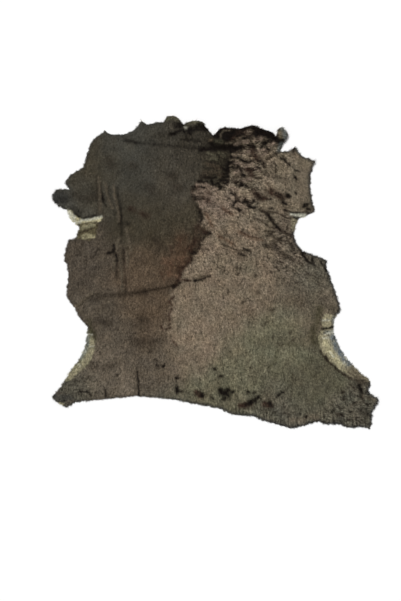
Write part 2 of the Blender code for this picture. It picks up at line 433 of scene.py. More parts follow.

# The coat's broad tones: name, side of the colour line, x and y in mm from the middle of
# the back, tone, how light it is there, which way the hair lies in degrees, and how curly.
# The left's darker tones are partly the coat's own colour and partly painted shade of hair
# that lies away from the light.
ZONES = [
    ("left neck", "left", -430, 640, "grey mouse", 1.15, -130, 0.08),
    ("left shoulder", "left", -620, 480, "mouse", 1.12, -140, 0.15),
    ("left fore shank", "left", -740, 380, "grey mouse", 1.18, -160, 0.25),
    ("left withers", "left", -430, 440, "grey mouse", 1.09, -120, 0.05),
    ("middle of the nape", "left", -150, 600, "dark dun", 0.98, -95, 0.3),
    ("left of the withers", "left", -200, 450, "dark dun", 1.13, -100, 0.2),
    ("black of the neck", "left", 60, 560, "mouse", 0.9, -5, 0.5),
    ("left ribs", "left", -380, 260, "mouse", 1.07, -115, 0.1),
    ("left of the spine", "left", -150, 230, "mouse", 1.07, -105, 0.3),
    ("left belly", "left", -640, 60, "warm mouse", 1.13, -140, 0.3),
    ("left loin", "left", -350, -60, "chestnut", 1.15, -115, 0.25),
    ("beside the spine", "left", -160, 60, "chestnut", 0.95, -100, 0.3),
    ("left flank", "left", -560, -260, "dun", 1.0, -135, 0.28),
    ("left hock", "left", -720, -620, "grey taupe", 1.02, -150, 0.5),
    ("left rump", "left", -520, -520, "dun", 1.2, -115, 0.33),
    ("middle of the rump", "left", -270, -460, "dun", 1.0, -95, 0.35),
    ("tail set", "left", -150, -640, "grey taupe", 1.0, -90, 0.4),
    ("left spine, low", "left", -230, -260, "chestnut", 1.1, -100, 0.33),
    ("neck curls", "right", 190, 660, "taupe", 1.05, -25, 1.0),
    ("right nape", "right", 300, 560, "taupe", 1.25, -35, 0.85),
    ("right shoulder point", "right", 450, 500, "taupe", 1.05, -50, 0.05),
    ("right shoulder, outer", "right", 440, 410, "taupe", 1.02, -60, 0.05),
    ("right withers", "right", 120, 480, "taupe", 1.3, -20, 1.0),
    ("below the black of the neck", "right", 10, 385, "rosy", 0.92, -30, 0.55),
    ("right shoulder", "right", 350, 330, "taupe", 1.22, -20, 0.6),
    ("right ribs", "right", 130, 180, "pale taupe", 1.08, -40, 0.6),
    ("right armpit", "right", 420, 150, "dun", 1.2, -35, 0.85),
    ("right belly", "right", 560, 20, "grey taupe", 1.06, -55, 0.6),
    ("right loin", "right", 150, -80, "pale taupe", 1.02, -70, 0.45),
    ("right flank", "right", 480, -160, "taupe", 0.98, -60, 0.4),
    ("right of the spine, low", "right", -60, -260, "pale taupe", 1.06, -90, 0.35),
    ("right haunch", "right", 300, -350, "mossy taupe", 1.12, -75, 0.32),
    ("right rump", "right", 150, -560, "mossy taupe", 1.1, -85, 0.4),
    ("right thigh", "right", 520, -520, "mossy taupe", 0.92, -60, 0.33),
    ("right hock", "right", 740, -680, "grey taupe", 1.03, -45, 0.7),
    ("rump edge", "right", 320, -720, "grey taupe", 1.0, -92, 0.5),
]
ZONE_REACH = 120 * MM

# Where the dark left of the coat, partly painted shade of its nap, meets the light right, down from the
# neck to the rump.
COLOUR_LINE = [
    (170, 1000), (150, 720), (132, 625), (112, 600), (84, 590), (100, 578), (84, 566), (95, 555),
    (76, 542), (74, 502), (62, 490), (72, 474), (58, 467), (80, 458), (66, 448), (40, 434), (48, 423),
    (26, 414), (-8, 430), (-82, 448), (-112, 420), (-112, 387), (-92, 360), (-75, 335), (-59, 298),
    (-68, 272), (-82, 246), (-58, 228), (-22, 200), (-28, 180), (-58, 162), (-68, 145), (-70, 130),
    (-78, 115), (-90, 102), (-106, 88), (-106, 70), (-112, 55), (-132, 35), (-158, 20), (-152, -2),
    (-170, -20), (-162, -40), (-182, -55), (-190, -72), (-214, -90), (-222, -130), (-214, -165),
    (-224, -200), (-228, -240), (-262, -290), (-235, -330), (-200, -480), (-150, -1000),
]  # fmt: skip
FRIZZ = 7 * MM  # how far locks of one tone usually reach across it into the other
# How soft that line is: y, and half the width over which one tone becomes the other, in mm.
LINE_SOFTNESS = [(-440, 150), (-330, 60), (-230, 26), (-60, 13), (80, 6), (420, 7), (700, 14)]

# Bare and pale places, each an outline that runs past the hide's edge: name, tone, how
# much of it, how soft its outline is in mm, how streaky it is, and the outline.
PALE = [
    ("behind the left shank", "cream", 0.9, 2.5, 0.16, [
        (-742, 315), (-720, 310), (-705, 293), (-688, 282), (-672, 270), (-655, 263), (-622, 268),
        (-592, 276), (-570, 280), (-562, 268), (-572, 252), (-612, 250), (-642, 248), (-668, 246),
        (-688, 238), (-772, 220), (-782, 300)]),
    ("left armpit", "olive", 0.8, 7, 0.14, [
        (-678, 248), (-622, 250), (-588, 250), (-578, 230), (-592, 205), (-592, 175), (-628, 160),
        (-682, 168), (-722, 200)]),
    ("left flank, top", "lichen", 0.8, 3, 0.1, [
        (-672, -285), (-635, -285), (-618, -295), (-610, -318), (-632, -318), (-672, -315)]),
    ("left flank", "lichen", 0.92, 3.5, 0.2, [
        (-672, -315), (-612, -318), (-600, -335), (-598, -365), (-601, -388), (-612, -410),
        (-618, -440), (-632, -463), (-652, -478), (-672, -492), (-688, -510), (-708, -520),
        (-722, -535), (-742, -545), (-822, -570), (-822, -340)]),
    ("right flank, top", "straw", 0.95, 3, 0.18, [
        (538, -230), (552, -213), (572, -208), (598, -215), (652, -215), (652, -275), (598, -270),
        (568, -276), (542, -280), (534, -255)]),
    ("right flank", "straw", 0.95, 3.5, 0.22, [
        (522, -320), (526, -298), (540, -284), (592, -278), (652, -275), (852, -540), (782, -550),
        (732, -545), (710, -538), (678, -520), (648, -500), (618, -478), (582, -452), (558, -428),
        (538, -400), (528, -370), (521, -340)]),
    ("right armpit", "straw", 0.75, 4, 0.12, [
        (385, 265), (412, 270), (488, 280), (488, 190), (398, 190), (385, 220)]),
]  # fmt: skip

# Creases, ridges, tufts and stains: name, tone, how much of it, width and rise in mm, and
# the lines they follow, in mm. A rise below 0 is a trough in the undercoat. The dark tones
# in creases, folds, hollows, partings and under flaps are painted shade, and the light
# tones on ridges painted highlight.
MARKS = [
    # painted shade in the creases under the neck roll
    ("creases under the neck roll", "soot", 0.5, 8, -1.0, [
        [(-448, 660), (-372, 644), (-272, 637), (-142, 625), (-62, 615)]]),
    # painted shade, black where that crease runs deepest
    ("deep end of that crease", "soot", 1.0, 14, -1.0, [
        [(-68, 616), (-32, 615), (12, 618), (72, 620), (128, 628)]]),
    ("shade over it", "soot", 0.7, 20, 0, [
        [(-8, 640), (58, 642), (88, 645)]]),
    ("shade under it", "soot", 0.75, 12, 0, [
        [(65, 555), (62, 530), (65, 505)]]),
    # painted shade in the pockets of that crease
    ("pockets in that crease", "soot", 0.5, 8, -1.5, [
        [(-442, 660), (-392, 650)]]),
    # black hair, darkened further with painted shade where the neck's edge rolls over
    ("black edge of the neck", "soot", 1.0, 13, 0, [
        [(-12, 645), (-2, 665), (18, 695), (42, 710), (88, 712), (138, 708), (178, 725), (218, 708),
         (258, 704), (288, 685), (312, 660), (342, 648)]]),
    ("black curls behind the crest", "soot", 0.95, 20, 0, [
        [(-2, 655), (22, 685)], [(22, 675), (82, 680)], [(92, 695), (128, 690)],
        [(188, 708), (232, 698), (272, 690)], [(208, 688), (278, 682)], [(292, 655), (332, 650)]]),
    ("grey strands in that black", "taupe", 0.75, 5, 0.3, [
        [(32, 672), (34, 692), (48, 704), (72, 705)], [(58, 642), (82, 648), (98, 665), (112, 674)],
        [(78, 645), (108, 659)]]),
    ("slate hair in that black", "slate", 0.6, 8, 0, [
        [(52, 690), (59, 670)]]),
    ("mossy locks in that black", "mossy taupe", 0.45, 9, 0.2, [
        [(5, 655), (38, 650)]]),
    ("brown of the crest", "brown", 0.75, 13, 0, [
        [(122, 698), (162, 690)], [(88, 662), (118, 670)]]),
    ("black rings and dashes in the neck curls", "soot", 1.0, 7, -0.6, [
        [(38, 675), (45, 692), (68, 698), (82, 685), (78, 665), (58, 658), (38, 675)],
        [(138, 664), (168, 672), (198, 688)], [(98, 658), (110, 645)],
        [(232, 620), (245, 638), (270, 652)], [(148, 622), (172, 635), (202, 625)],
        [(178, 618), (192, 635)], [(82, 598), (108, 605), (132, 620)],
        [(142, 555), (172, 548), (192, 558)], [(332, 570), (352, 560), (372, 538)],
        [(88, 525), (108, 515), (122, 535)]]),
    # painted shade in the partings between the curls
    ("brown partings in the neck curls", "soot", 0.95, 7, -0.5, [
        [(82, 575), (112, 570), (142, 562)], [(132, 440), (152, 430), (168, 425)],
        [(108, 438), (132, 430)], [(82, 395), (105, 385)], [(258, 368), (278, 365)],
        [(358, 378), (378, 375)], [(212, 558), (232, 555)], [(158, 520), (178, 505)]]),
    # painted shade in softer partings
    ("softer partings there", "umber", 0.7, 7, -0.5, [
        [(262, 562), (285, 580), (305, 592), (328, 608)], [(88, 460), (118, 475)],
        [(98, 480), (122, 488), (152, 475), (172, 485)]]),
    # painted shade in the folds of the right nape
    ("soft folds of the right nape", "umber", 0.45, 9, -0.4, [
        [(262, 570), (252, 545), (258, 515)], [(242, 500), (270, 481), (312, 475), (345, 470)],
        [(252, 410), (282, 408)]]),
    ("thin line of the right nape", "soot", 0.6, 4, -0.4, [
        [(372, 538), (392, 521), (412, 507), (428, 503)]]),
    # painted shade in the hollows among the curls
    ("brown hollows in the neck curls", "brown", 0.8, 17, -0.4, [
        [(188, 600), (208, 575)], [(165, 512), (185, 488)]]),
    ("light strands in the neck curls", "rosy", 0.95, 6.5, 0.4, [
        [(102, 638), (132, 650)], [(142, 648), (172, 655)], [(202, 660), (238, 668)],
        [(98, 585), (132, 592)], [(142, 590), (172, 608)], [(222, 608), (258, 615)],
        [(238, 585), (262, 600)], [(268, 630), (298, 645)], [(98, 550), (132, 540)],
        [(148, 530), (188, 538)], [(98, 498), (138, 505)], [(82, 420), (122, 412)],
        [(142, 460), (182, 465)], [(202, 525), (228, 505)], [(168, 702), (178, 685)]]),
    ("combed dark hair left of the withers", "soot", 1.0, 6, -0.5, [
        [(-82, 453), (-68, 460)], [(-72, 449), (-38, 452)], [(-112, 427), (-68, 426)],
        [(-62, 422), (-48, 423)], [(-112, 413), (-92, 414)], [(-82, 393), (-60, 392)],
        [(-112, 377), (-62, 379)], [(-98, 363), (-52, 365)], [(-48, 470), (8, 473)],
        [(-18, 460), (-5, 435), (22, 445)]]),
    ("shade among that hair", "umber", 0.7, 12, 0, [
        [(-68, 475), (-28, 480)], [(-108, 405), (-102, 360)], [(-88, 330), (-72, 305)]]),
    ("brown among that hair", "brown", 0.6, 8, 0, [
        [(-48, 405), (-22, 390)], [(-32, 370), (-22, 345)], [(-92, 440), (-78, 405)],
        [(-58, 380), (-42, 355)]]),
    ("light strands in that hair", "rosy", 0.6, 6, 0.3, [
        [(-92, 439), (-38, 438)], [(-82, 404), (-42, 410)], [(-88, 386), (-58, 386)],
        [(-70, 345), (-68, 325)], [(-18, 420), (22, 410)]]),
    # painted shadow along the edge of the brown hair
    ("dark edge of the brown hair", "soot", 0.85, 8, -0.3, [
        [(-72, 300), (-62, 270), (-80, 240)], [(-58, 202), (-38, 192), (-22, 198)],
        [(-52, 170), (-68, 155)], [(-72, 130), (-78, 115)], [(-122, 110), (-108, 95), (-92, 98)],
        [(-120, 75), (-112, 60)], [(-142, 38), (-128, 47)], [(-172, 25), (-152, 23)],
        [(-175, 8), (-168, -15)], [(-182, -40), (-172, -55)], [(-208, -75), (-190, -67)]]),
    ("black of the deepest tufts", "soot", 1.0, 10, 0, [
        [(-115, 100), (-95, 95)], [(-202, -72), (-190, -65)], [(-46, 195), (-26, 193)]]),
    ("warm shade in that edge", "brown", 0.45, 24, 0, [
        [(-82, 215), (-88, 135)]]),
    ("reddish dashes down the spine", "brown", 0.85, 6, -0.3, [
        [(-225, -145), (-215, -165)], [(-215, -185), (-225, -208)], [(-228, -220), (-225, -242)],
        [(-232, -265), (-218, -260)], [(-268, -270), (-258, -288)], [(-242, -285), (-222, -280)],
        [(-208, -345), (-192, -365)], [(-165, -38), (-122, -42)], [(-202, -120), (-218, -135)]]),
    ("brown hair along the spine", "brown", 0.65, 11, -0.3, [
        [(-122, 70), (-152, 25), (-178, -25), (-192, -60)], [(-98, 160), (-122, 110)]]),
    ("dark strands in the brown", "brown", 0.6, 5, -0.3, [
        [(-212, 25), (-232, -15)], [(-152, 55), (-188, 15), (-192, -30)], [(-128, 130), (-152, 90)],
        [(-248, 55), (-208, 30)], [(-168, 170), (-182, 125)], [(-222, 130), (-212, 85)],
        [(-272, 0), (-252, -40)]]),
    ("reddish locks in the brown", "russet", 0.7, 8, 0.2, [
        [(-182, 70), (-162, 55), (-152, 40)], [(-262, 48), (-212, 42)], [(-258, 68), (-202, 62)],
        [(-232, -5), (-192, -18)], [(-138, 80), (-158, 70)]]),
    ("tuft across the spine", "brown", 0.55, 14, 0.3, [
        [(-78, 225), (-42, 200)]]),
    ("black hair beside the spine", "soot", 0.95, 6.5, -0.5, [
        [(70, 550), (68, 510)], [(32, 525), (52, 510), (72, 503)], [(42, 492), (68, 491)],
        [(42, 475), (70, 477)], [(28, 462), (72, 460)], [(48, 440), (70, 450)],
        [(32, 428), (48, 424)], [(22, 440), (26, 412)]]),
    ("dark curls over that edge", "soot", 0.95, 6, -0.5, [
        [(78, 605), (108, 597)], [(82, 578), (118, 572)], [(78, 546), (98, 556)],
        [(132, 610), (102, 615)]]),
    ("strands in the dark of the neck", "soot", 0.5, 6, -0.3, [
        [(-28, 550), (22, 545)], [(-48, 520), (2, 515)], [(-62, 478), (-28, 472)],
        [(-12, 488), (28, 485)], [(8, 600), (22, 580)], [(52, 590), (68, 572)]]),
    ("lighter strands there", "mossy taupe", 0.45, 8, 0.2, [
        [(-32, 595), (-2, 585)], [(22, 598), (48, 585)], [(-28, 568), (12, 565)]]),
    ("brown strands there", "chestnut", 0.4, 8, 0.2, [
        [(-2, 530), (28, 520)], [(-58, 498), (-8, 498)], [(8, 505), (32, 480)],
        [(-42, 540), (-12, 535)]]),
    ("black curls on the withers", "soot", 1.0, 8, -0.5, [
        [(132, 448), (158, 430)], [(88, 330), (102, 350), (122, 360)], [(108, 318), (128, 310)],
        [(142, 350), (168, 352)], [(172, 326), (202, 321)], [(188, 345), (198, 358)],
        [(162, 342), (182, 330)]]),
    # painted shade in the hollows behind the shoulder
    ("hollows behind the shoulder", "brown", 0.85, 19, -0.5, [
        [(198, 400), (218, 382), (242, 370)], [(282, 405), (312, 388), (338, 375)]]),
    # painted shade, darkest in those hollows
    ("dark of those hollows", "soot", 0.6, 11, -0.3, [
        [(312, 395), (342, 368)], [(208, 395), (232, 370)]]),
    ("light lock on the crest", "pale taupe", 0.5, 11, 0.6, [
        [(172, 680), (182, 710)], [(112, 658), (132, 668)], [(108, 588), (128, 598)]]),
    ("shade of the crest", "soot", 0.6, 12, 0, [
        [(108, 705), (142, 700)]]),
    ("black over and under that lock", "soot", 1.0, 6, -0.5, [
        [(108, 675), (145, 688)], [(142, 667), (162, 672), (192, 690)], [(168, 722), (202, 716)]]),
    ("dark tip of the right nape", "soot", 0.95, 9, 0, [
        [(399, 624), (397, 606)]]),
    ("cool edge of the right nape", "ash", 0.55, 6, 0, [
        [(412, 612), (432, 592), (462, 576)]]),
    # painted shade at the end of the neck crease
    ("black end of the neck crease", "soot", 1.0, 9, -0.6, [
        [(58, 622), (108, 622), (132, 626)]]),
    ("grey ear of the neck", "ash", 0.6, 13, 0, [
        [(338, 710), (348, 680)]]),
    ("olive of that ear", "olive", 0.5, 7, 0, [
        [(325, 705), (332, 670)]]),
    ("grey tips of the tabs", "mossy taupe", 0.75, 9, 0, [
        [(-138, 744), (-112, 752), (-82, 748), (-62, 736)], [(-238, 760), (-212, 775), (-182, 765)]]),
    ("light edge of the neck", "ash", 0.55, 7, 0, [
        [(318, 608), (335, 645)], [(350, 705), (355, 670)]]),
    ("shade between the tabs", "soot", 1.0, 14, -1.0, [
        [(-188, 730), (-162, 735)], [(-128, 710), (-102, 714), (-72, 718), (-38, 715)],
        [(-75, 734), (-42, 722)]]),
    # painted shadow under the tabs
    ("dark locks under the tabs", "soot", 0.9, 7.5, -0.8, [
        [(-222, 688), (-198, 690)], [(-192, 698), (-168, 705)], [(-160, 711), (-150, 698)],
        [(-135, 702), (-120, 691)]]),
    # painted shade in the crease under those locks
    ("crease under those locks", "soot", 0.6, 7, -0.8, [
        [(-162, 665), (-82, 655)], [(-142, 685), (-128, 655)]]),
    # painted shade in the elbow crease
    ("left elbow crease", "soot", 0.6, 6, -1.5, [
        [(-571, 445), (-568, 410), (-562, 375), (-554, 345), (-542, 328)]]),
    # painted shade in the soft creases
    ("soft creases by the elbow", "soot", 0.35, 6.5, -0.8, [
        [(-588, 470), (-586, 410), (-582, 360), (-580, 305)],
        [(-530, 425), (-525, 370), (-505, 325), (-495, 295)], [(-610, 430), (-602, 360)]]),
    # painted shade in the rib creases
    ("left rib creases", "soot", 0.5, 8, -1.5, [
        [(-486, 420), (-482, 375), (-478, 350), (-472, 320), (-470, 285), (-466, 250), (-464, 210),
         (-466, 180), (-470, 155)], [(-485, 115), (-492, 90), (-490, 60), (-488, 20), (-492, -25)]]),
    ("shade of those creases", "soot", 0.35, 14, -0.6, [
        [(-476, 345), (-471, 300)], [(-490, 65), (-488, 10)], [(-582, 430), (-580, 380)]]),
    # painted shade, deepest in those creases
    ("deep of those creases", "soot", 0.9, 7, -1.0, [
        [(-469, 285), (-466, 245)], [(-492, 88), (-488, 55)], [(-564, 395), (-558, 355)]]),
    # painted shade in the creases beside them
    ("creases beside them", "soot", 0.6, 6.5, -0.8, [
        [(-454, 115), (-452, 50), (-450, 0), (-444, -55), (-442, -95)],
        [(-430, 190), (-422, 165), (-418, 145)], [(-608, 75), (-595, 98), (-578, 118)],
        [(-505, 135), (-504, 110)]]),
    # painted shade at the end of a fold
    ("black fold end on the left ribs", "soot", 0.95, 8, -1.0, [
        [(-532, 95), (-518, 98), (-502, 103)], [(-504, 135), (-500, 105)]]),
    ("spots on the left ribs", "soot", 0.5, 11, 0, [
        [(-425, 320), (-420, 312)], [(-358, 290), (-342, 285)], [(-438, 245), (-428, 240)]]),
    # painted highlight on the ridges of the left folds, over their real rise
    ("left ridges", "taupe", 0.7, 6.5, 2.2, [
        [(-578, 470), (-576, 410), (-572, 345), (-571, 300)],
        [(-545, 440), (-539, 390), (-528, 355), (-510, 320)],
        [(-505, 430), (-500, 385), (-490, 340), (-480, 295), (-478, 255)],
        [(-474, 165), (-484, 130), (-491, 105)],
        [(-470, 130), (-472, 90), (-468, 40), (-465, -15), (-460, -90)],
        [(-442, 215), (-432, 180), (-422, 145), (-415, 105)], [(-502, 70), (-504, 10)],
        [(-435, 100), (-434, 30)], [(-690, -170), (-612, -108)]]),
    ("soft dark places on the left", "umber", 0.45, 20, 0, [
        [(-528, 565), (-518, 535)], [(-412, 535), (-398, 530)], [(-218, 485), (-202, 480)],
        [(-188, 425), (-172, 420)], [(-698, 390), (-672, 375)], [(-632, 370), (-592, 380)],
        [(-332, 430), (-312, 410)], [(-632, -455), (-598, -475)], [(-552, -485), (-512, -470)],
        [(-402, -335), (-368, -355)], [(-348, -340), (-312, -358)], [(-382, -98), (-352, -102)],
        [(-298, 160), (-272, 130)], [(-572, -240), (-532, -260)], [(-372, -230), (-342, -245)]]),
    ("dark knob of the shank", "slate", 0.6, 34, 0, [
        [(-788, 370), (-758, 370)]]),
    ("deep of the knob", "soot", 0.55, 12, -0.4, [
        [(-762, 365), (-742, 358)]]),
    # painted shadow under the edge of the shank flap
    ("dark rim of the left armpit", "soot", 0.7, 6, -1.0, [
        [(-718, 315), (-698, 292), (-672, 273), (-655, 268), (-618, 275), (-578, 285)]]),
    ("shade above it", "soot", 0.35, 13, 0, [
        [(-708, 320), (-672, 295)]]),
    ("hair across the left armpit", "umber", 0.6, 6, -0.5, [
        [(-672, 195), (-632, 210), (-598, 225), (-582, 240)], [(-668, 168), (-632, 171)]]),
    ("light hair in the left armpit", "cream", 0.5, 6, 0.3, [
        [(-662, 180), (-642, 188), (-602, 178)], [(-658, 170), (-618, 175)],
        [(-652, 230), (-602, 235)]]),
    ("bright hair behind the left shank", "white", 0.85, 6, 0.3, [
        [(-670, 258), (-622, 264), (-568, 275)],
        [(-735, 305), (-722, 285), (-709, 263), (-692, 247), (-672, 251)], [(-725, 302), (-698, 275)]]),
    ("hair between those", "lichen", 0.6, 8, 0, [
        [(-662, 220), (-608, 235)]]),
    ("moss by the left flank", "moss", 0.55, 14, 0, [
        [(-628, -245), (-620, -295)], [(-612, -300), (-598, -330)]]),
    ("cream band of the left flank", "straw", 0.9, 11, 0.3, [
        [(-610, -348), (-612, -390), (-630, -430), (-652, -460), (-688, -492), (-722, -525)]]),
    ("cool edge of the left flank", "ash", 0.6, 9, 0, [
        [(-635, -320), (-635, -365), (-652, -400), (-670, -430)]]),
    ("white strands on the left flank", "white", 0.4, 4, 0.2, [
        [(-660, -405), (-642, -395)], [(-685, -458), (-672, -472)], [(-622, -375), (-602, -370)],
        [(-632, -312), (-612, -313)]]),
    # painted shade in the crease across the left flank
    ("crease across the left flank", "umber", 0.4, 17, -1.0, [
        [(-612, -140), (-548, -120), (-422, -110), (-322, -93), (-242, -77), (-198, -68)]]),
    # painted highlight on the ridge above the crease
    ("ridge above that crease", "taupe", 0.75, 6.5, 0.8, [
        [(-690, -172), (-650, -138), (-612, -108)]]),
    # painted shade along the line of that crease
    ("line of that crease", "soot", 0.22, 6, -0.6, [
        [(-472, -122), (-418, -112), (-322, -93), (-242, -78), (-198, -67)]]),
    # painted shade at the end of that crease
    ("end of that crease", "soot", 1.0, 6, -1.0, [
        [(-102, -43), (-78, -41), (-62, -35), (-42, -27)], [(-30, -22), (-22, -20)]]),
    ("slit by the tail", "soot", 1.0, 6, -1.2, [
        [(-386, -498), (-382, -535), (-378, -620)]]),
    ("marks on the left hock", "soot", 0.85, 6, -0.5, [
        [(-672, -598), (-628, -601), (-620, -618)], [(-548, -588), (-546, -620)]]),
    ("dark corner of the left hock", "slate", 0.5, 24, 0, [
        [(-788, -620), (-728, -635)]]),
    ("light hair on that corner", "dun", 0.6, 5, 0, [
        [(-792, -605), (-760, -608)], [(-742, -650), (-708, -645)]]),
    ("reddish hair along the spine", "fox", 0.3, 42, 0, [
        [(-162, 160), (-172, 80), (-232, 0)]]),
    ("brown spots on the left ribs", "brown", 0.45, 15, 0, [
        [(-368, 295), (-332, 280)], [(-418, 318), (-402, 310)]]),
    # painted shade along the folds above the right armpit
    ("shaded folds above the right armpit", "umber", 0.85, 5, -0.8, [
        [(278, 302), (318, 295), (352, 275), (380, 268)]]),
    # painted shadow under the edge of the right armpit's flap
    ("dark rim of the right armpit", "soot", 0.95, 6, -1.0, [
        [(348, 311), (388, 299), (428, 297), (462, 302)], [(392, 275), (425, 270)]]),
    ("bright hair in the right armpit", "white", 0.9, 6, 0.2, [
        [(385, 287), (428, 284), (452, 286)]]),
    # painted shade along the fold behind the right armpit
    ("shaded fold behind the right armpit", "umber", 0.9, 8, -1.0, [
        [(238, 305), (272, 288), (282, 265), (298, 240), (322, 215)],
        [(332, 205), (358, 195), (378, 185)]]),
    ("shade above that fold", "umber", 0.55, 11, -0.3, [
        [(232, 310), (262, 288), (290, 260)]]),
    # painted shade, deepest in that fold
    ("deepest shade of that fold", "soot", 0.95, 8, -0.8, [
        [(272, 285), (285, 260)], [(302, 235), (330, 210)]]),
    # painted shade along the fold beside it
    ("shaded fold beside it", "umber", 0.65, 5, -0.4, [
        [(202, 268), (225, 262), (248, 245), (272, 226)]]),
    ("brown seams on the right ribs", "umber", 0.7, 6, -0.5, [
        [(38, 140), (88, 120), (128, 108), (182, 105)], [(120, 98), (138, 90), (162, 80)],
        [(252, 205), (302, 202)], [(258, 180), (298, 178)], [(268, 192), (288, 190)],
        [(322, 162), (342, 172)]]),
    ("black of those seams", "soot", 0.8, 6, -0.4, [
        [(145, 118), (172, 108)], [(120, 92), (148, 82)]]),
    ("reddish hair on the right ribs", "fox", 0.5, 9, 0, [
        [(122, 200), (152, 185), (188, 170), (238, 160)], [(42, 320), (68, 300), (88, 290)],
        [(22, 180), (88, 145)], [(-42, 290), (-12, 230)]]),
    ("brown lines in that hair", "brown", 0.75, 4.5, -0.4, [
        [(132, 200), (178, 178), (218, 170)], [(40, 316), (62, 300), (86, 294)]]),
    # painted shade in the hollow by the armpit
    ("brown hollow by the armpit", "soot", 0.6, 13, -0.5, [
        [(248, 140), (278, 133), (312, 115)]]),
    ("dark seams on the right belly", "soot", 0.95, 7, -0.8, [
        [(435, 110), (442, 90)], [(448, 80), (460, 62)], [(462, 55), (485, 43)],
        [(488, 65), (498, 32)], [(532, 50), (558, 10)]]),
    ("shade by those seams", "umber", 0.6, 9, -0.3, [
        [(332, 100), (358, 80), (392, 60)], [(378, 145), (392, 110)], [(292, 158), (328, 162)]]),
    ("moss by the right flank", "moss", 0.6, 20, -0.3, [
        [(528, -185), (512, -250), (492, -295), (502, -350)]]),
    ("shade along the right flank", "umber", 0.85, 6, -0.8, [
        [(530, -395), (558, -435), (612, -488), (688, -538)]]),
    ("slit across the right flank", "soot", 1.0, 5, -1.0, [
        [(538, -286), (568, -280), (600, -272)]]),
    ("cream band of the right flank", "cream", 0.6, 11, 0.3, [
        [(555, -345), (568, -385), (592, -420), (628, -455)]]),
    ("slate band of the right flank", "sea slate", 0.85, 20, -0.3, [
        [(592, -320), (612, -370), (640, -415), (672, -455)]]),
    ("slate edges of the right flank", "sea slate", 0.5, 7, 0, [
        [(552, -302), (598, -297)], [(595, -225), (595, -260)]]),
    ("white strands on the right flank", "white", 0.55, 4, 0.2, [
        [(548, -310), (598, -302)], [(542, -330), (578, -327)], [(648, -425), (662, -440)],
        [(655, -445), (642, -460)], [(538, -242), (578, -238)], [(578, -400), (598, -425)]]),
    ("tan end of the right flank", "taupe", 0.85, 22, 0, [
        [(682, -495), (742, -545)]]),
    ("shade at that end", "umber", 0.5, 12, 0, [
        [(708, -535), (758, -555)]]),
    ("dark seam on the right hock", "soot", 0.9, 11, -0.8, [
        [(722, -568), (732, -595), (740, -630)]]),
    ("dark of the right hock", "soot", 0.45, 24, 0, [
        [(738, -695), (768, -720)]]),
    ("light hair on the right hock", "taupe", 0.5, 9, 0.3, [
        [(748, -622), (792, -638)], [(688, -665), (728, -650)]]),
    ("line down the rump", "umber", 0.3, 5, -0.5, [
        [(395, -500), (390, -600), (378, -640)], [(380, -565), (342, -605), (312, -625)]]),
    ("tan place on the rump's edge", "pale taupe", 0.5, 15, 0.4, [
        [(388, -740), (442, -740)], [(472, -722), (508, -728)]]),
    # painted shade in the crease above the rump's fringe
    ("crease above the rump's fringe", "umber", 0.4, 5, -0.8, [
        [(82, -695), (128, -680), (188, -682), (278, -700), (358, -708), (428, -708)]]),
    ("brown stains along the rump", "brown", 1.0, 14, -0.3, [
        [(128, -668), (178, -660)], [(250, -662), (282, -668)], [(-92, -600), (-68, -620)]]),
    ("dark of those stains", "soot", 0.95, 11, -0.5, [
        [(178, -652), (218, -628)], [(162, -662), (198, -650)], [(275, -655), (285, -670)]]),
    ("green bloom on the haunch", "bloom", 0.25, 34, 0, [
        [(302, -330), (342, -330)], [(238, -420), (278, -390)], [(298, -430), (312, -470)],
        [(132, 20), (158, 20)], [(428, -400), (468, -440)]]),
    ("rim of that bloom", "moss", 0.4, 8, -0.3, [
        [(312, -400), (302, -450), (268, -480)], [(352, -360), (412, -365)]]),
    ("speck by the tabs", "white", 0.65, 5, 0, [
        [(-145, 720), (-143, 720)]]),
    ("tan curls in the notch", "tan", 0.6, 5, 0, [
        [(-26, 658), (-12, 664)]]),
]  # fmt: skip

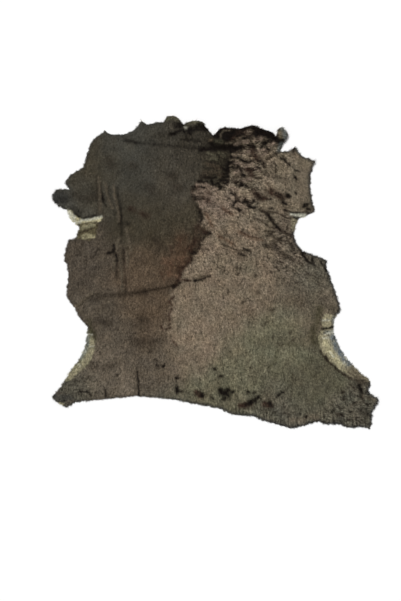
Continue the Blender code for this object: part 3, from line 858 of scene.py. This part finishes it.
# Spots where the hair parts, with painted shade in its gaps, or is stained: name, tone, how
# much of it, and for each spot x, y, length and width in mm, and the way it points in degrees.
SPOTS = [
    # painted shade in the gaps between the neck curls
    ("gaps in the neck curls", "soot", 0.9, [
        (58, 680, 30, 26, 0), (248, 640, 30, 20, 40), (132, 510, 30, 13, -60), (92, 540, 24, 13, -30),
        (178, 630, 18, 13, 60), (268, 615, 24, 13, -30), (222, 520, 30, 13, -20),
        (148, 480, 30, 13, -50), (218, 470, 24, 13, 20)]),
    # painted shade in the gaps on the right shoulder
    ("gaps on the right shoulder", "soot", 1.0, [
        (405, 472, 24, 13, -50), (408, 508, 18, 8, -20), (455, 335, 36, 20, 25),
        (468, 315, 18, 13, 0), (370, 385, 24, 16, -30), (408, 395, 18, 10, -70),
        (282, 318, 24, 10, 0), (348, 345, 30, 13, -20)]),
    # painted shade in the gaps on the ribs and the haunch
    ("gaps on the ribs and the haunch", "umber", 0.75, [
        (222, -105, 20, 10, -35), (292, -188, 14, 13, 0), (260, -252, 24, 9, 25),
        (245, -268, 20, 8, 20), (285, -192, 14, 10, 0), (292, -328, 36, 8, 85),
        (378, -305, 14, 13, 0), (438, 100, 24, 20, -60), (642, -598, 18, 13, 60),
        (645, -638, 16, 13, 0), (622, -714, 27, 17, 0), (561, -430, 30, 13, -80),
        (548, -305, 12, 7, 0), (118, 22, 24, 10, -25), (48, 5, 18, 10, 30), (-25, -22, 12, 13, 0),
        (118, -8, 16, 12, 70), (208, -18, 18, 16, 0), (148, -148, 22, 8, 30), (68, -100, 18, 8, 80),
        (182, -478, 16, 10, 0), (392, -340, 18, 10, 60), (332, -365, 24, 8, 5), (232, 175, 14, 10, 0)]),
    # painted shade in the gaps along the rump
    ("gaps along the rump", "soot", 1.0, [
        (-288, -470, 18, 13, -50), (-255, -470, 18, 13, 50), (-188, -528, 18, 13, 0),
        (-188, -590, 42, 14, 90), (-168, -598, 18, 13, 0), (-60, -615, 24, 23, 0),
        (-12, -630, 18, 13, -40), (2, -485, 16, 13, 0), (32, -522, 20, 14, 20),
        (30, -595, 30, 23, -60), (70, -590, 24, 20, 0), (55, -612, 48, 30, -40),
        (45, -638, 22, 16, 0), (92, -600, 18, 13, 0), (168, -602, 16, 10, -20),
        (198, -604, 18, 10, 0), (319, -617, 24, 12, 40), (342, -602, 18, 10, 10),
        (458, -725, 14, 13, 0)]),
    # painted shade in the gaps on the hock
    ("gaps on the hock", "soot", 0.8, [
        (646, -625, 14, 12, 0), (638, -715, 14, 12, 0), (700, -655, 17, 10, 30),
        (598, -690, 14, 10, 30), (678, -700, 16, 10, -40), (712, -730, 16, 10, 20),
        (658, -745, 14, 10, 0)]),
    ("nicks on the left rump", "soot", 0.75, [
        (-490, -517, 16, 14, 0), (-598, -602, 10, 9, 0), (-322, -400, 16, 12, 20),
        (-292, -440, 18, 10, -30)]),
    ("faint nicks on the left flank", "umber", 0.35, [
        (-632, -525, 18, 16, 0), (-398, -270, 16, 13, 0), (-438, -308, 14, 13, 0),
        (-482, -290, 14, 10, 0)]),
    ("stains on the left edge", "cream", 0.7, [
        (-770, -660, 18, 10, 0)]),
]  # fmt: skip


def on_hide(points):
    """Places in mm from the middle of the back, in metres from the middle of the solid."""
    return (np.array(points, float) - MIDDLE) * MM


def ramp(value, low, high):
    """A smooth step from 0 at low to 1 at high."""
    share = np.clip((value - low) / (high - low), 0, 1)
    return share * share * (3 - 2 * share)


def line_distance(points, line):
    """How far each point is from a line of straight stretches."""
    best = np.full(len(points), np.inf)
    for start, end in zip(line[:-1], line[1:]):
        way = end - start
        share = np.clip((points - start) @ way / (way @ way), 0, 1)
        best = np.minimum(best, np.linalg.norm(points - start - share[:, None] * way, axis=1))
    return best


def within(points, outline):
    """Whether each point is inside a closed outline."""
    odd = np.zeros(len(points), bool)
    for start, end in zip(outline, np.roll(outline, -1, axis=0)):
        if start[1] != end[1]:
            spans = (start[1] > points[:, 1]) != (end[1] > points[:, 1])
            slope = (end[0] - start[0]) / (end[1] - start[1])
            odd ^= spans & (points[:, 0] < start[0] + (points[:, 1] - start[1]) * slope)
    return odd


def strayed(points, wavelength, reach, seed):
    """The points moved unevenly, so that a line drawn through them comes out frizzy."""
    right = drift(points, wavelength, seed)
    up = drift(points, wavelength, seed + 1)
    return points + reach * np.column_stack([right, up])


colour_line = on_hide(COLOUR_LINE)
right_of_line = np.vstack([colour_line, on_hide([(2000, -1000), (2000, 1000)])])


def right_share(points):
    """0 in the dark left of the coat and 1 in the light right, with a frizzy line between."""
    points = strayed(strayed(points, 42 * MM, 6 * MM, 11), 16 * MM, 7 * MM, 13)
    distance = line_distance(points, colour_line)
    distance = np.where(within(points, right_of_line), distance, -distance)
    heights_at, widths = np.array(LINE_SOFTNESS).T * MM
    soft = np.interp(points[:, 1], heights_at, widths)
    return ramp(distance, -soft, soft)


def blended(points, side, values, reach):
    """The zones' values on one side of the colour line, each fading into the next."""
    total = np.zeros((len(points), len(values[0])))
    weights = np.zeros(len(points))
    for zone, value in zip(ZONES, values):
        if zone[1] == side:
            away = np.linalg.norm(points - on_hide(zone[2:4]), axis=1)
            weight = np.exp(-((away / reach) ** 2)) + 1e-9
            total += weight[:, None] * np.asarray(value)
            weights += weight
    return total / weights[:, None]


def zone_values(points):
    """The left and the right zones' tone, the way the hair lies in plan and how curly it is."""
    values = []
    for _, _, _, _, tone, light, heading, curl in ZONES:
        paint = to_paint(*TONES[tone]) * light**2.2
        turned = math.radians(heading)
        values.append((*paint, math.cos(turned), math.sin(turned), curl))
    loose = strayed(points, 150 * MM, 40 * MM, 21)
    return blended(loose, "left", values, ZONE_REACH), blended(loose, "right", values, ZONE_REACH)


def between(left, right, share):
    """Left values fading into right ones."""
    return left * (1 - share[:, None]) + right * share[:, None]


def swirled(points, lie, curl, way_out, edge_distance):
    """The lie of the hair with its swirls, and turned out at the hide's edge."""
    heading = np.arctan2(lie[:, 1], lie[:, 0])
    swirl = 0.6 * drift(points, 120 * MM, 31) + 0.8 * drift(points, 40 * MM, 32)
    heading = heading + swirl * np.radians(8 + 70 * curl)
    swung = np.column_stack([np.cos(heading), np.sin(heading)])
    share = 0.5 * (1 - ramp(edge_distance, 0, 20 * MM))[:, None]
    swung = swung * (1 - share) + way_out * share
    return swung / np.maximum(np.linalg.norm(swung, axis=1), 1e-6)[:, None]


def combed(points, lie, wavelength, reach, seed):
    """Unevenness drawn out along the lie of the hair, as its locks are, 1 in its usual size."""
    steps = 4
    total = drift(points, wavelength, seed)
    for way in (1, -1):
        place = points.copy()
        for _ in range(steps):
            place = place + way * reach / steps * lie
            total = total + drift(place, wavelength, seed)
    return total / total.std()


def toned(tint, share, tone, brightness=1.0):
    """The tint mixed with a share of a named tone."""
    share = np.clip(share, 0, 1)[:, None]
    return tint * (1 - share) + to_paint(*TONES[tone]) * brightness * share


def close_to(points, line, reach):
    """Which points are within a reach of the box round a line."""
    low, high = line.min(axis=0) - reach, line.max(axis=0) + reach
    return np.flatnonzero(((points > low) & (points < high)).all(axis=1))


def uneven(plan, lie, curl, strands, grain):
    """The coat's unevenness: its rise in mm, how light it is, its gaps and its dark dashes.

    Curls cast deeper shade than straight hair, so each share grows with the curl.
    """
    curly = curl * curl
    tufts = combed(plan, lie, *TUFTS)
    patchy = ramp(drift(plan, 70 * MM, 53), -0.5, 0.3)
    partings = (1 - ramp(abs(combed(plan, lie, *PARTINGS)), 0.05, 0.4)) * patchy
    dashes = ramp(combed(plan, lie, *DASHES), 1.25, 2.0) * ramp(curl, 0.45, 0.95)
    gaps = ramp(-(0.5 * strands + 0.9 * tufts), 0.9, 1.5) * ramp(curl, 0.35, 0.9)
    rise = (0.2 + 0.4 * curl) * (0.4 * strands + 0.9 * tufts) - 1.2 * gaps - 0.8 * curl * partings
    light = 1.12 + (0.04 + 0.08 * curl + 0.26 * curly) * strands + (0.02 + 0.1 * curly) * tufts
    light += (0.04 + 0.11 * curl) * grain
    light += 0.16 * drift(plan, 95 * MM, 51) + (0.13 + 0.08 * curly) * drift(plan, 40 * MM, 52)
    # painted shade in the partings between the curls
    light -= 0.7 * curly * partings
    return rise, light, gaps, dashes


def wandering_warmth(plan, on_right):
    """How the coat turns slowly from warm to cool, and from rosy to green on the right."""
    warm = drift(plan, 60 * MM, 61)[:, None] * np.array([0.02, 0.0, -0.03])
    rosy = drift(plan, 75 * MM, 63)[:, None] * np.array([0.025, -0.012, -0.005])
    return 1 + warm + rosy * on_right[:, None]


def combed_fringe(plan, edge_distance):
    """How light each lock is in the long straight hair along the right of the rump's edge."""
    fringe = ramp(edge_distance, 70 * MM, 30 * MM) * ramp(-plan[:, 1], 650 * MM, 680 * MM)
    fringe = fringe * ramp(plan[:, 0], 40 * MM, 130 * MM)
    downwards = np.tile([0.05, -1.0], (len(plan), 1))
    return (1 + 0.3 * fringe * combed(plan, downwards, *FRINGE_LOCKS))[:, None]


def paint_pale_places(plan, lie, grain, tint):
    """Paints the bare and pale places into the tint, and gives how pale each point is."""
    pale = np.zeros(len(plan))
    loose = strayed(strayed(plan, 20 * MM, 4 * MM, 71), 8 * MM, 3 * MM, 75)
    streaks = 0.7 * combed(plan, lie, *PALE_STREAKS) + 0.5 * grain
    for _, tone, share, soft, streaky, outline in PALE:
        outline = on_hide(outline)
        place = close_to(loose, outline, 30 * MM)
        spot = loose[place]
        distance = line_distance(spot, np.vstack([outline, outline[:1]]))
        distance = np.where(within(spot, outline), distance, -distance)
        much = share * ramp(distance + 2 * MM * streaks[place], -soft * MM, soft * MM)
        tint[place] = toned(tint[place], much, tone)
        tint[place] *= (1 + streaky * streaks[place] * much)[:, None]
        pale[place] = np.maximum(pale[place], much)
    return pale


def draw_marks(plan, strands, tint, rise):
    """Draws the creases, ridges, tufts, stains and spots into the tint and the rise, with painted shade
    in the creases, hollows and gaps and painted highlight on the ridges.

    Each is full along its middle and fades out over its width.
    """
    loose = strayed(strayed(plan, 18 * MM, 3.5 * MM, 81), 7 * MM, 2 * MM, 85)
    ruffle = 1 + 0.3 * drift(plan, 22 * MM, 83) + 0.15 * strands
    for _, tone, strength, width, lift, lines in MARKS:
        for line in lines:
            line = on_hide(line)
            place = close_to(loose, line, 2.5 * width * MM)
            weight = np.exp(-((line_distance(loose[place], line) / (width * MM)) ** 2))
            weight = np.minimum(1.25 * weight, 1) * ruffle[place]
            rise[place] += lift * weight
            tint[place] = toned(tint[place], strength * weight, tone)
    for _, tone, strength, spots in SPOTS:
        for x, y, long, wide, turned in spots:
            middle = on_hide([(x, y)])
            place = close_to(loose, middle, 1.5 * long * MM)
            away = loose[place] - middle
            heading = math.radians(turned)
            along = away[:, 0] * math.cos(heading) + away[:, 1] * math.sin(heading)
            across = away[:, 1] * math.cos(heading) - away[:, 0] * math.sin(heading)
            reach = (along / (0.6 * long * MM)) ** 2 + (across / (0.6 * wide * MM)) ** 2
            weight = np.minimum(1.5 * np.exp(-reach), 1) * ruffle[place]
            rise[place] -= weight
            tint[place] = toned(tint[place], strength * weight, tone)


def whole_coat(step):
    """Points and triangles all over the hide, and what the coat is like at each point."""
    plan, triangles = filled(hair_edge, step)
    under, top = heights(plan, solid_tree)
    under, top = evened(under, triangles, 2), evened(top, triangles, 2)
    edge_place, edge_distance = nearest(hair_edge, plan)
    left, right = zone_values(plan)
    on_right = right_share(plan)
    broad = between(left, right, on_right)
    curl = broad[:, 5]
    lie = swirled(plan, broad[:, 3:5], curl, outwards(hair_edge)[edge_place], edge_distance)
    strands = combed(plan, lie, *FINE_STRANDS)
    grain = drift(plan, 10 * MM, 55)
    grain /= grain.std()
    rise, light, gaps, dashes = uneven(plan, lie, curl, strands, grain)

    frizz = FRIZZ * combed(plan, lie, *FRIZZY_LOCKS)[:, None]
    # the left's darker tint is partly its own colour and partly painted shade of hair lying away from
    # the light
    tint = between(left, right, right_share(plan + lie * frizz))[:, :3]
    tint = tint * np.maximum(light, 0.2)[:, None]
    # painted shade in the gaps between the curls, where the hair is also thinner
    tint = toned(tint, 0.9 * gaps, "brown", 0.4)
    tint = toned(tint, 0.9 * dashes, "brown", 0.35)
    tint = tint * wandering_warmth(plan, on_right)
    tint = tint * combed_fringe(plan, edge_distance)
    pale = paint_pale_places(plan, lie, grain, tint)
    # painted shade in slate along the cut edge, less where the hair is pale
    painted_rim_shade = (1 - ramp(edge_distance, 2 * MM, 15 * MM)) * (1 - 0.6 * pale)
    tint = toned(tint, (0.3 + 0.4 * on_right) * painted_rim_shade, "slate", 0.75)
    draw_marks(plan, strands, tint, rise)

    skin_top = np.maximum(under + SKIN_THICK, heights(plan, skin_tree)[1])
    depth = np.maximum(top - skin_top, 0.5 * MM)
    shown = ramp(edge_distance, 0, COAT_RIM)
    lay = depth * (RIM_SHARE + (UNDERCOAT_SHARE - RIM_SHARE) * shown) * (1 - 0.4 * pale)
    lay = np.clip(lay + rise * MM * shown, COAT_LEAST, depth + COAT_OVER)
    lay[: len(hair_edge)] = -RIM_SINKS

    near_edge = 1 - ramp(edge_distance, 2 * MM, 16 * MM)
    length = (HAIR_LENGTH + (CURL_LENGTH - HAIR_LENGTH) * curl) * (1 - pale) + PALE_LENGTH * pale
    rim_length = RIM_LENGTH * (1 + 0.5 * drift(plan, 14 * MM, 91))
    length = length + (rim_length - length) * near_edge
    kept = {
        "tint": ("FLOAT_COLOR", np.hstack([np.maximum(tint, 0.002), np.ones((len(plan), 1))])),
        "lie": ("FLOAT_VECTOR", np.column_stack([lie, np.zeros(len(plan))])),
        "curl": ("FLOAT", curl),
        "hair_length": ("FLOAT", length),
        "thickness": ("FLOAT", (1 + 1.4 * near_edge) * (1 - 0.45 * gaps)),
    }
    return np.column_stack([plan, skin_top + lay]), triangles, kept


def kept_value(wire, name, output=2):
    """What the mesh keeps under a name, as a number, or as a colour from output 0."""
    return wire.node("ShaderNodeAttribute", {"attribute_name": name}, output=output)


def hair_colour(wire, tint, curl, shade):
    """The tint with a fine grain, ripples on wavy hair, and light strands and painted shade in the
    partings between curls.
    """
    place = wire.node("ShaderNodeTexCoord", output="Object")

    def noise(scale, detail, distortion, stretch=(1, 1, 1)):
        values = {0: place, 1: stretch}
        where = wire.node("ShaderNodeVectorMath", {"operation": "MULTIPLY"}, values)
        values = {"Vector": where, "Scale": scale, "Detail": detail, "Distortion": distortion}
        return wire.node("ShaderNodeTexNoise", {"noise_dimensions": "2D"}, values)

    grain = noise(125.0, 3.0, 0.6)
    strands = noise(88.0, 2.0, 1.5, (0.35, 1.6, 1))
    ripples = noise(80.0, 2.0, 1.2, (1.1, 0.42, 1))
    wavy = noise(58.0, 2.0, 1.8, (0.42, 1.6, 1))
    broken = noise(24.0, 1.0, 0.0).spread(0.4, 0.55)
    curly = curl * curl
    parting = wire.maths("ABSOLUTE", wavy - 0.5).spread(0.06, 0.012) * broken
    light = 1.0 + (grain - 0.5) * (0.6 + curl * 2.4 - curly * 1.4) + (strands - 0.5) * curly * 3.7
    light = light + (ripples - 0.5) * (curl - curly) * 6.5
    colour = wire.scaled(tint, shade * wire.maths("MAXIMUM", light, 0.15))
    # painted shade in the partings between the curls
    parting_shade = (*to_paint(*TONES["brown"]) * 0.3, 1)
    return wire.mixed(parting * curly * 0.85, colour, parting_shade), light


def undercoat_material():
    """Dense soft hair seen from above: fine grain, painted shade between the curls, and darker all over
    as painted shade under the guard hair.
    """
    material, wire, shader = new_material("undercoat_hair", 0.85, 0.0, 0.04)
    tint = kept_value(wire, "tint", 0)
    # 0.82: the undercoat painted darker than the guard hair, as the shade under it
    colour, light = hair_colour(wire, tint, kept_value(wire, "curl"), 0.82)
    bump = wire.node("ShaderNodeBump", {}, {"Height": light, "Strength": 0.7, "Distance": 1.5 * MM})
    colour.feeds(shader, "Base Color")
    bump.feeds(shader, "Normal")
    return material


def keep(mesh, name, domain, kind, values):
    """Values kept on a mesh as a named attribute."""
    made = mesh.attributes.new(name, kind, domain)
    field = {"FLOAT_COLOR": "color", "FLOAT_VECTOR": "vector"}.get(kind, "value")
    made.data.foreach_set(field, np.ascontiguousarray(values).ravel())


coat_points, coat_triangles, coat = whole_coat(COAT_STEP)
undercoat = mesh_object("undercoat", coat_points, coat_triangles, [undercoat_material()])
for name in ("tint", "curl"):
    keep(undercoat.data, name, "POINT", *coat[name])
lay_out_flat(undercoat)
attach(undercoat, "root")
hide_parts("hide")

# ---------------------------------------------------------------------------------------
# The guard hair. Longer, glossier hair that stands out of the undercoat in small locks,
# lies back down each side, curls on the neck and the right of the back, and makes the
# ragged edge of the hide. Five bands across the hide, from the neck to the rump.
# ---------------------------------------------------------------------------------------
BANDS = ["neck", "shoulders", "ribs", "loin", "rump"]
GROUND_STEP = 3.2 * MM  # of the fine mesh that only the roots and the tones are taken from
LOCKS_A_SQUARE_METRE = 41500.0
TINT_WHERE_IT_LIES = 0.9  # share of a lock's tone from under each point, the rest from its root
STRANDS = ((-0.14, -10, 0.84), (0.0, 1, 1.0), (0.13, 12, 0.92))  # beside, degrees, length
STRAND_WIDTH = 0.1
CLUMP_SCALE = 95.0
CLUMP_RISE = 1.6 * MM
HAIR_SINKS = 1.5 * MM  # below the undercoat, at most
HAIR_STANDS = 6.0 * MM  # above it, at most
HAIR_CLEARS = 0.4 * MM  # above the floor, at least
STATIONS = ((0.0, 1.0, 0.0), (0.5, 0.85, 0.1), (1.0, 0.0, 0.03))  # along, width, height
LOCK_BENDS = {"a": 0.08, "b": -0.1, "c": 0.42, "d": -0.38}  # two nearly straight, then two curls
FIRST_SEED = 100


def lock_of_hair(name, bend):
    """One lock as long as 1: three flat strands that rise, bend sideways and lie down again."""
    bm = bmesh.new()
    tip = bm.verts.layers.float.new("tip")
    for beside, turned, reach in STRANDS:
        heading = math.radians(turned)
        forward = Vector((math.cos(heading), math.sin(heading), 0))
        across = Vector((-math.sin(heading), math.cos(heading), 0))
        rows = []
        for along, width, height in STATIONS:
            middle = forward * along * reach + across * bend * along**2
            middle += Vector((0, beside, height))
            reach_out = across * STRAND_WIDTH / 2 * width
            sides = [middle - reach_out, middle + reach_out] if width else [middle]
            rows.append([bm.verts.new(place) for place in sides])
            for vert in rows[-1]:
                vert[tip] = along
        root, halfway, end = rows
        bm.faces.new((root[0], halfway[0], halfway[1], root[1]))
        bm.faces.new((halfway[0], end[0], halfway[1]))
    bmesh.ops.triangulate(bm, faces=bm.faces)
    mesh = bpy.data.meshes.new(name)
    bm.to_mesh(mesh)
    bm.free()
    mesh.shade_smooth()
    return bpy.data.objects.new(name, mesh)


def guard_hair_material():
    """Hair a little glossier than the undercoat, with painted shade at its roots, lightening to its
    tips.
    """
    material, wire, shader = new_material("guard_hair", 0.62, 0.0, 0.05)
    tint = kept_value(wire, "tint", 0)
    tip = kept_value(wire, "tip")
    # painted shade among the hair at the roots, lighter towards the tips
    shade = (0.62 + tip * 0.62) * kept_value(wire, "shade")
    colour, _ = hair_colour(wire, tint, kept_value(wire, "curl"), shade)
    colour.feeds(shader, "Base Color")
    rough = 0.75 - tip * 0.2
    rough.feeds(shader, "Roughness")
    return material


def hair_tree(locks, material):
    """A tree that plants locks over one band of the undercoat, along the lie of its hair."""
    tree = bpy.data.node_groups.new("guard_hair", "GeometryNodeTree")
    sockets = tree.interface
    sockets.new_socket("Undercoat", in_out="INPUT", socket_type="NodeSocketGeometry")
    sockets.new_socket("Hair", in_out="OUTPUT", socket_type="NodeSocketGeometry")
    sockets.new_socket("Band", in_out="INPUT", socket_type="NodeSocketInt")
    sockets.new_socket("Locks a square metre", in_out="INPUT", socket_type="NodeSocketFloat")
    sockets.new_socket("Seed", in_out="INPUT", socket_type="NodeSocketInt")
    wire = Wire(tree)
    inputs = tree.nodes.new("NodeGroupInput").outputs
    given = {name: Wire(tree, inputs[name]) for name in inputs.keys() if name}

    def measured(name, kind="FLOAT"):
        return wire.node("GeometryNodeInputNamedAttribute", {"data_type": kind}, {"Name": name})

    def chance(low, high, seed):
        values = {2: low, 3: high, "Seed": given["Seed"] + seed}
        return wire.node("FunctionNodeRandomValue", {"data_type": "FLOAT"}, values, 1)

    def combined(x=0.0, y=0.0, z=0.0):
        return wire.node("ShaderNodeCombineXYZ", {}, {"X": x, "Y": y, "Z": z})

    def moved(geometry, offset):
        return wire.node("GeometryNodeSetPosition", {}, {"Geometry": geometry, "Offset": offset})

    def aligned(axis, settings, values):
        settings = {"axis": axis, **settings}
        return wire.node("FunctionNodeAlignRotationToVector", settings, values)

    def on_undercoat(value, kind):
        values = {"Mesh": given["Undercoat"], "Value": value}
        return wire.node("GeometryNodeSampleNearestSurface", {"data_type": kind}, values)

    def stored(geometry, name, value, kind, domain):
        settings = {"data_type": kind, "domain": domain}
        values = {"Geometry": geometry, "Name": name, "Value": value}
        return wire.node("GeometryNodeStoreNamedAttribute", settings, values)

    same = {"data_type": "INT", "operation": "EQUAL"}
    in_band = wire.node("FunctionNodeCompare", same, {2: measured("band", "INT"), 3: given["Band"]})
    values = {"Geometry": given["Undercoat"], "Selection": in_band}
    band = wire.node("GeometryNodeSeparateGeometry", {"domain": "FACE"}, values)
    density = given["Locks a square metre"] * measured("thickness")
    values = {"Mesh": band, "Density": density, "Seed": given["Seed"]}
    spread = {"distribute_method": "RANDOM"}
    roots = wire.node("GeometryNodeDistributePointsOnFaces", spread, values)
    normal = Wire(tree, roots.socket.node.outputs["Normal"])
    curl = measured("curl")
    clump = wire.node("ShaderNodeTexNoise", {}, {"Scale": CLUMP_SCALE, "Detail": 1.0})
    clump = clump.spread(0.4, 0.6) - 0.5
    lifted = moved(roots, wire.scaled(normal, clump * (curl * CLUMP_RISE + 0.4 * MM)))

    swing = chance(-1.0, 1.0, 1) * (0.16 + curl * 0.75)
    values = {"Vector": measured("lie", "FLOAT_VECTOR"), "Axis": (0, 0, 1), "Angle": swing}
    turned = wire.node("ShaderNodeVectorRotate", {"rotation_type": "AXIS_ANGLE"}, values)
    upright = aligned("Z", {}, {"Vector": normal})
    laid = aligned("X", {"pivot_axis": "Z"}, {"Rotation": upright, "Vector": turned})
    roll = chance(-1.0, 1.0, 2) * (0.25 + curl * 0.35)
    pitch = chance(-0.1, 0.06, 3) - curl * 0.04
    values = {"Rotation": laid, "Rotate By": combined(roll, pitch)}
    unevenly = wire.node("FunctionNodeRotateRotation", {"rotation_space": "LOCAL"}, values)

    length = measured("hair_length") * chance(0.72, 1.2, 4)
    curled = wire.maths("LESS_THAN", chance(0.0, 1.0, 5), curl)
    whichever = wire.maths("FLOOR", chance(0.0, 1.999, 6))
    separate = {"Collection": locks, "Separate Children": True}
    values = {
        "Points": lifted,
        "Instance": wire.node("GeometryNodeCollectionInfo", {}, separate),
        "Pick Instance": True,
        "Instance Index": curled * 2 + whichever,
        "Rotation": unevenly,
        "Scale": combined(length, length, length),
    }
    planted = wire.node("GeometryNodeInstanceOnPoints", {}, values)
    shade = 1 + chance(-1.0, 1.0, 7) * (0.26 + curl * 0.2) + clump * (0.1 + curl * 0.2)
    shaded = stored(planted, "shade", shade, "FLOAT", "INSTANCE")
    grown = wire.node("GeometryNodeRealizeInstances", {}, {"Geometry": shaded})

    here = wire.node("GeometryNodeInputPosition")
    height = wire.node("ShaderNodeSeparateXYZ", {}, {0: here}, 2)
    under_height = wire.node("ShaderNodeSeparateXYZ", {}, {0: on_undercoat(here, "FLOAT_VECTOR")}, 2)
    lowest = wire.maths("MAXIMUM", under_height - HAIR_SINKS, HAIR_CLEARS)
    kept_height = wire.maths("MINIMUM", height, under_height + HAIR_STANDS)
    kept_height = wire.maths("MAXIMUM", lowest, kept_height)
    pressed = moved(grown, combined(z=kept_height - height))
    there = on_undercoat(measured("tint", "FLOAT_COLOR"), "FLOAT_COLOR")
    tint = wire.mixed(TINT_WHERE_IT_LIES, measured("tint", "FLOAT_COLOR"), there)
    tinted = stored(pressed, "tint", tint, "FLOAT_COLOR", "POINT")
    finished = wire.node("GeometryNodeSetMaterial", {}, {"Geometry": tinted, "Material": material})
    tree.links.new(finished.socket, tree.nodes.new("NodeGroupOutput").inputs["Hair"])
    return tree


ground_points, ground_triangles, coat = whole_coat(GROUND_STEP)
ground = mesh_object("ground", ground_points, ground_triangles, [])
for name, kept in coat.items():
    keep(ground.data, name, "POINT", *kept)
order = np.argsort(-ground_points[ground_triangles, 1].mean(axis=1))
face_bands = np.empty(len(order), np.int32)
face_bands[order] = np.arange(len(order)) * len(BANDS) // len(order)
keep(ground.data, "band", "FACE", "INT", face_bands)

locks = bpy.data.collections.new("locks")
for name, bend in LOCK_BENDS.items():
    locks.objects.link(lock_of_hair(f"lock_{name}", bend))
tree = hair_tree(locks, guard_hair_material())
for band, name in enumerate(BANDS):
    carrier = bpy.data.objects.new(f"band_{name}", ground.data)
    bpy.context.scene.collection.objects.link(carrier)
    planting = carrier.modifiers.new("planting", "NODES")
    planting.node_group = tree
    settings = {"Band": band, "Locks a square metre": LOCKS_A_SQUARE_METRE, "Seed": FIRST_SEED + band}
    for item in tree.interface.items_tree:
        if item.name in settings:
            planting[item.identifier] = settings[item.name]
    carrier.update_tag()
    seen = bpy.context.evaluated_depsgraph_get()
    mesh = bpy.data.meshes.new_from_object(carrier.evaluated_get(seen), depsgraph=seen)
    bpy.data.objects.remove(carrier)
    for unread in ("lie", "hair_length", "thickness", "band", "id"):
        if unread in mesh.attributes:
            mesh.attributes.remove(mesh.attributes[unread])
    mesh.name = f"guard_hair_{name}"
    hair = bpy.data.objects.new(mesh.name, mesh)
    bpy.context.scene.collection.objects.link(hair)
    lay_out_flat(hair)
    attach(hair, "root")
    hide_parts("hide")
for lock in list(locks.objects):
    bpy.data.objects.remove(lock)
bpy.data.collections.remove(locks)
bpy.data.objects.remove(ground)

plan_edges = plan[triangles[:, 1:]] - plan[triangles[:, :1]]
area = abs(np.cross(plan_edges[:, 0], plan_edges[:, 1])).sum() / 2

# ---------------------------------------------------------------------------------------
# The floor, the light and the camera. The hide lies on a plain pale floor, in soft studio
# light from all round with one soft lamp to the upper left, and is seen from straight above.
# ---------------------------------------------------------------------------------------
FLOOR_SIZE = 200.0
FLOOR_GAP = 0.2 * MM  # below the hide
FLOOR_PALE = (0.91, 0.91, 0.91, 1)
FLOOR_PALER = (0.93, 0.93, 0.93, 1)
KEY_STRENGTH = 2.7
KEY_FROM = (-0.55, 0.65, 1.0)
KEY_SOFTNESS = 14  # how wide the lamp is, in degrees
SKY_STRENGTH = 0.45
PICTURE_MIDDLE = (-0.0735, -0.1427)
PICTURE_HEIGHT = 3.005  # from the picture's bottom to its top, at the level of the coat
COAT_LEVEL = 10 * MM
LENS, SENSOR = 50.0, 36.0

half = FLOOR_SIZE / 2
corners = np.array([(-half, -half), (half, -half), (half, half), (-half, half)])
floor_points = np.column_stack([corners, np.full(4, -FLOOR_GAP)])
floor_material, wire, shader = new_material("pale_floor", 0.85, 0.0, 0.2)
place = wire.node("ShaderNodeTexCoord", output="Object")
cloud = wire.node("ShaderNodeTexNoise", {}, {"Vector": place, "Scale": 3.0, "Detail": 2.0})
colour = wire.mixed(cloud, FLOOR_PALER, FLOOR_PALE)
colour.feeds(shader, "Base Color")
floor = mesh_object("floor", floor_points, np.array([(0, 1, 2), (0, 2, 3)]), [floor_material])

world = bpy.data.worlds.new("studio")
world.use_nodes = True
world.node_tree.nodes["Background"].inputs["Color"].default_value = (1, 1, 1, 1)
world.node_tree.nodes["Background"].inputs["Strength"].default_value = SKY_STRENGTH
bpy.context.scene.world = world
key = bpy.data.lights.new("key", "SUN")
key.energy = KEY_STRENGTH
key.angle = math.radians(KEY_SOFTNESS)
key_object = bpy.data.objects.new("key", key)
key_object.rotation_euler = Vector(KEY_FROM).to_track_quat("Z", "Y").to_euler()
bpy.context.scene.collection.objects.link(key_object)

camera = bpy.data.cameras.new("camera")
camera.lens, camera.sensor_width = LENS, SENSOR
camera_object = bpy.data.objects.new("camera", camera)
camera_object.location = (*PICTURE_MIDDLE, PICTURE_HEIGHT * LENS / SENSOR + COAT_LEVEL)
bpy.context.scene.collection.objects.link(camera_object)
bpy.context.scene.camera = camera_object
bpy.context.scene.view_settings.view_transform = "Standard"
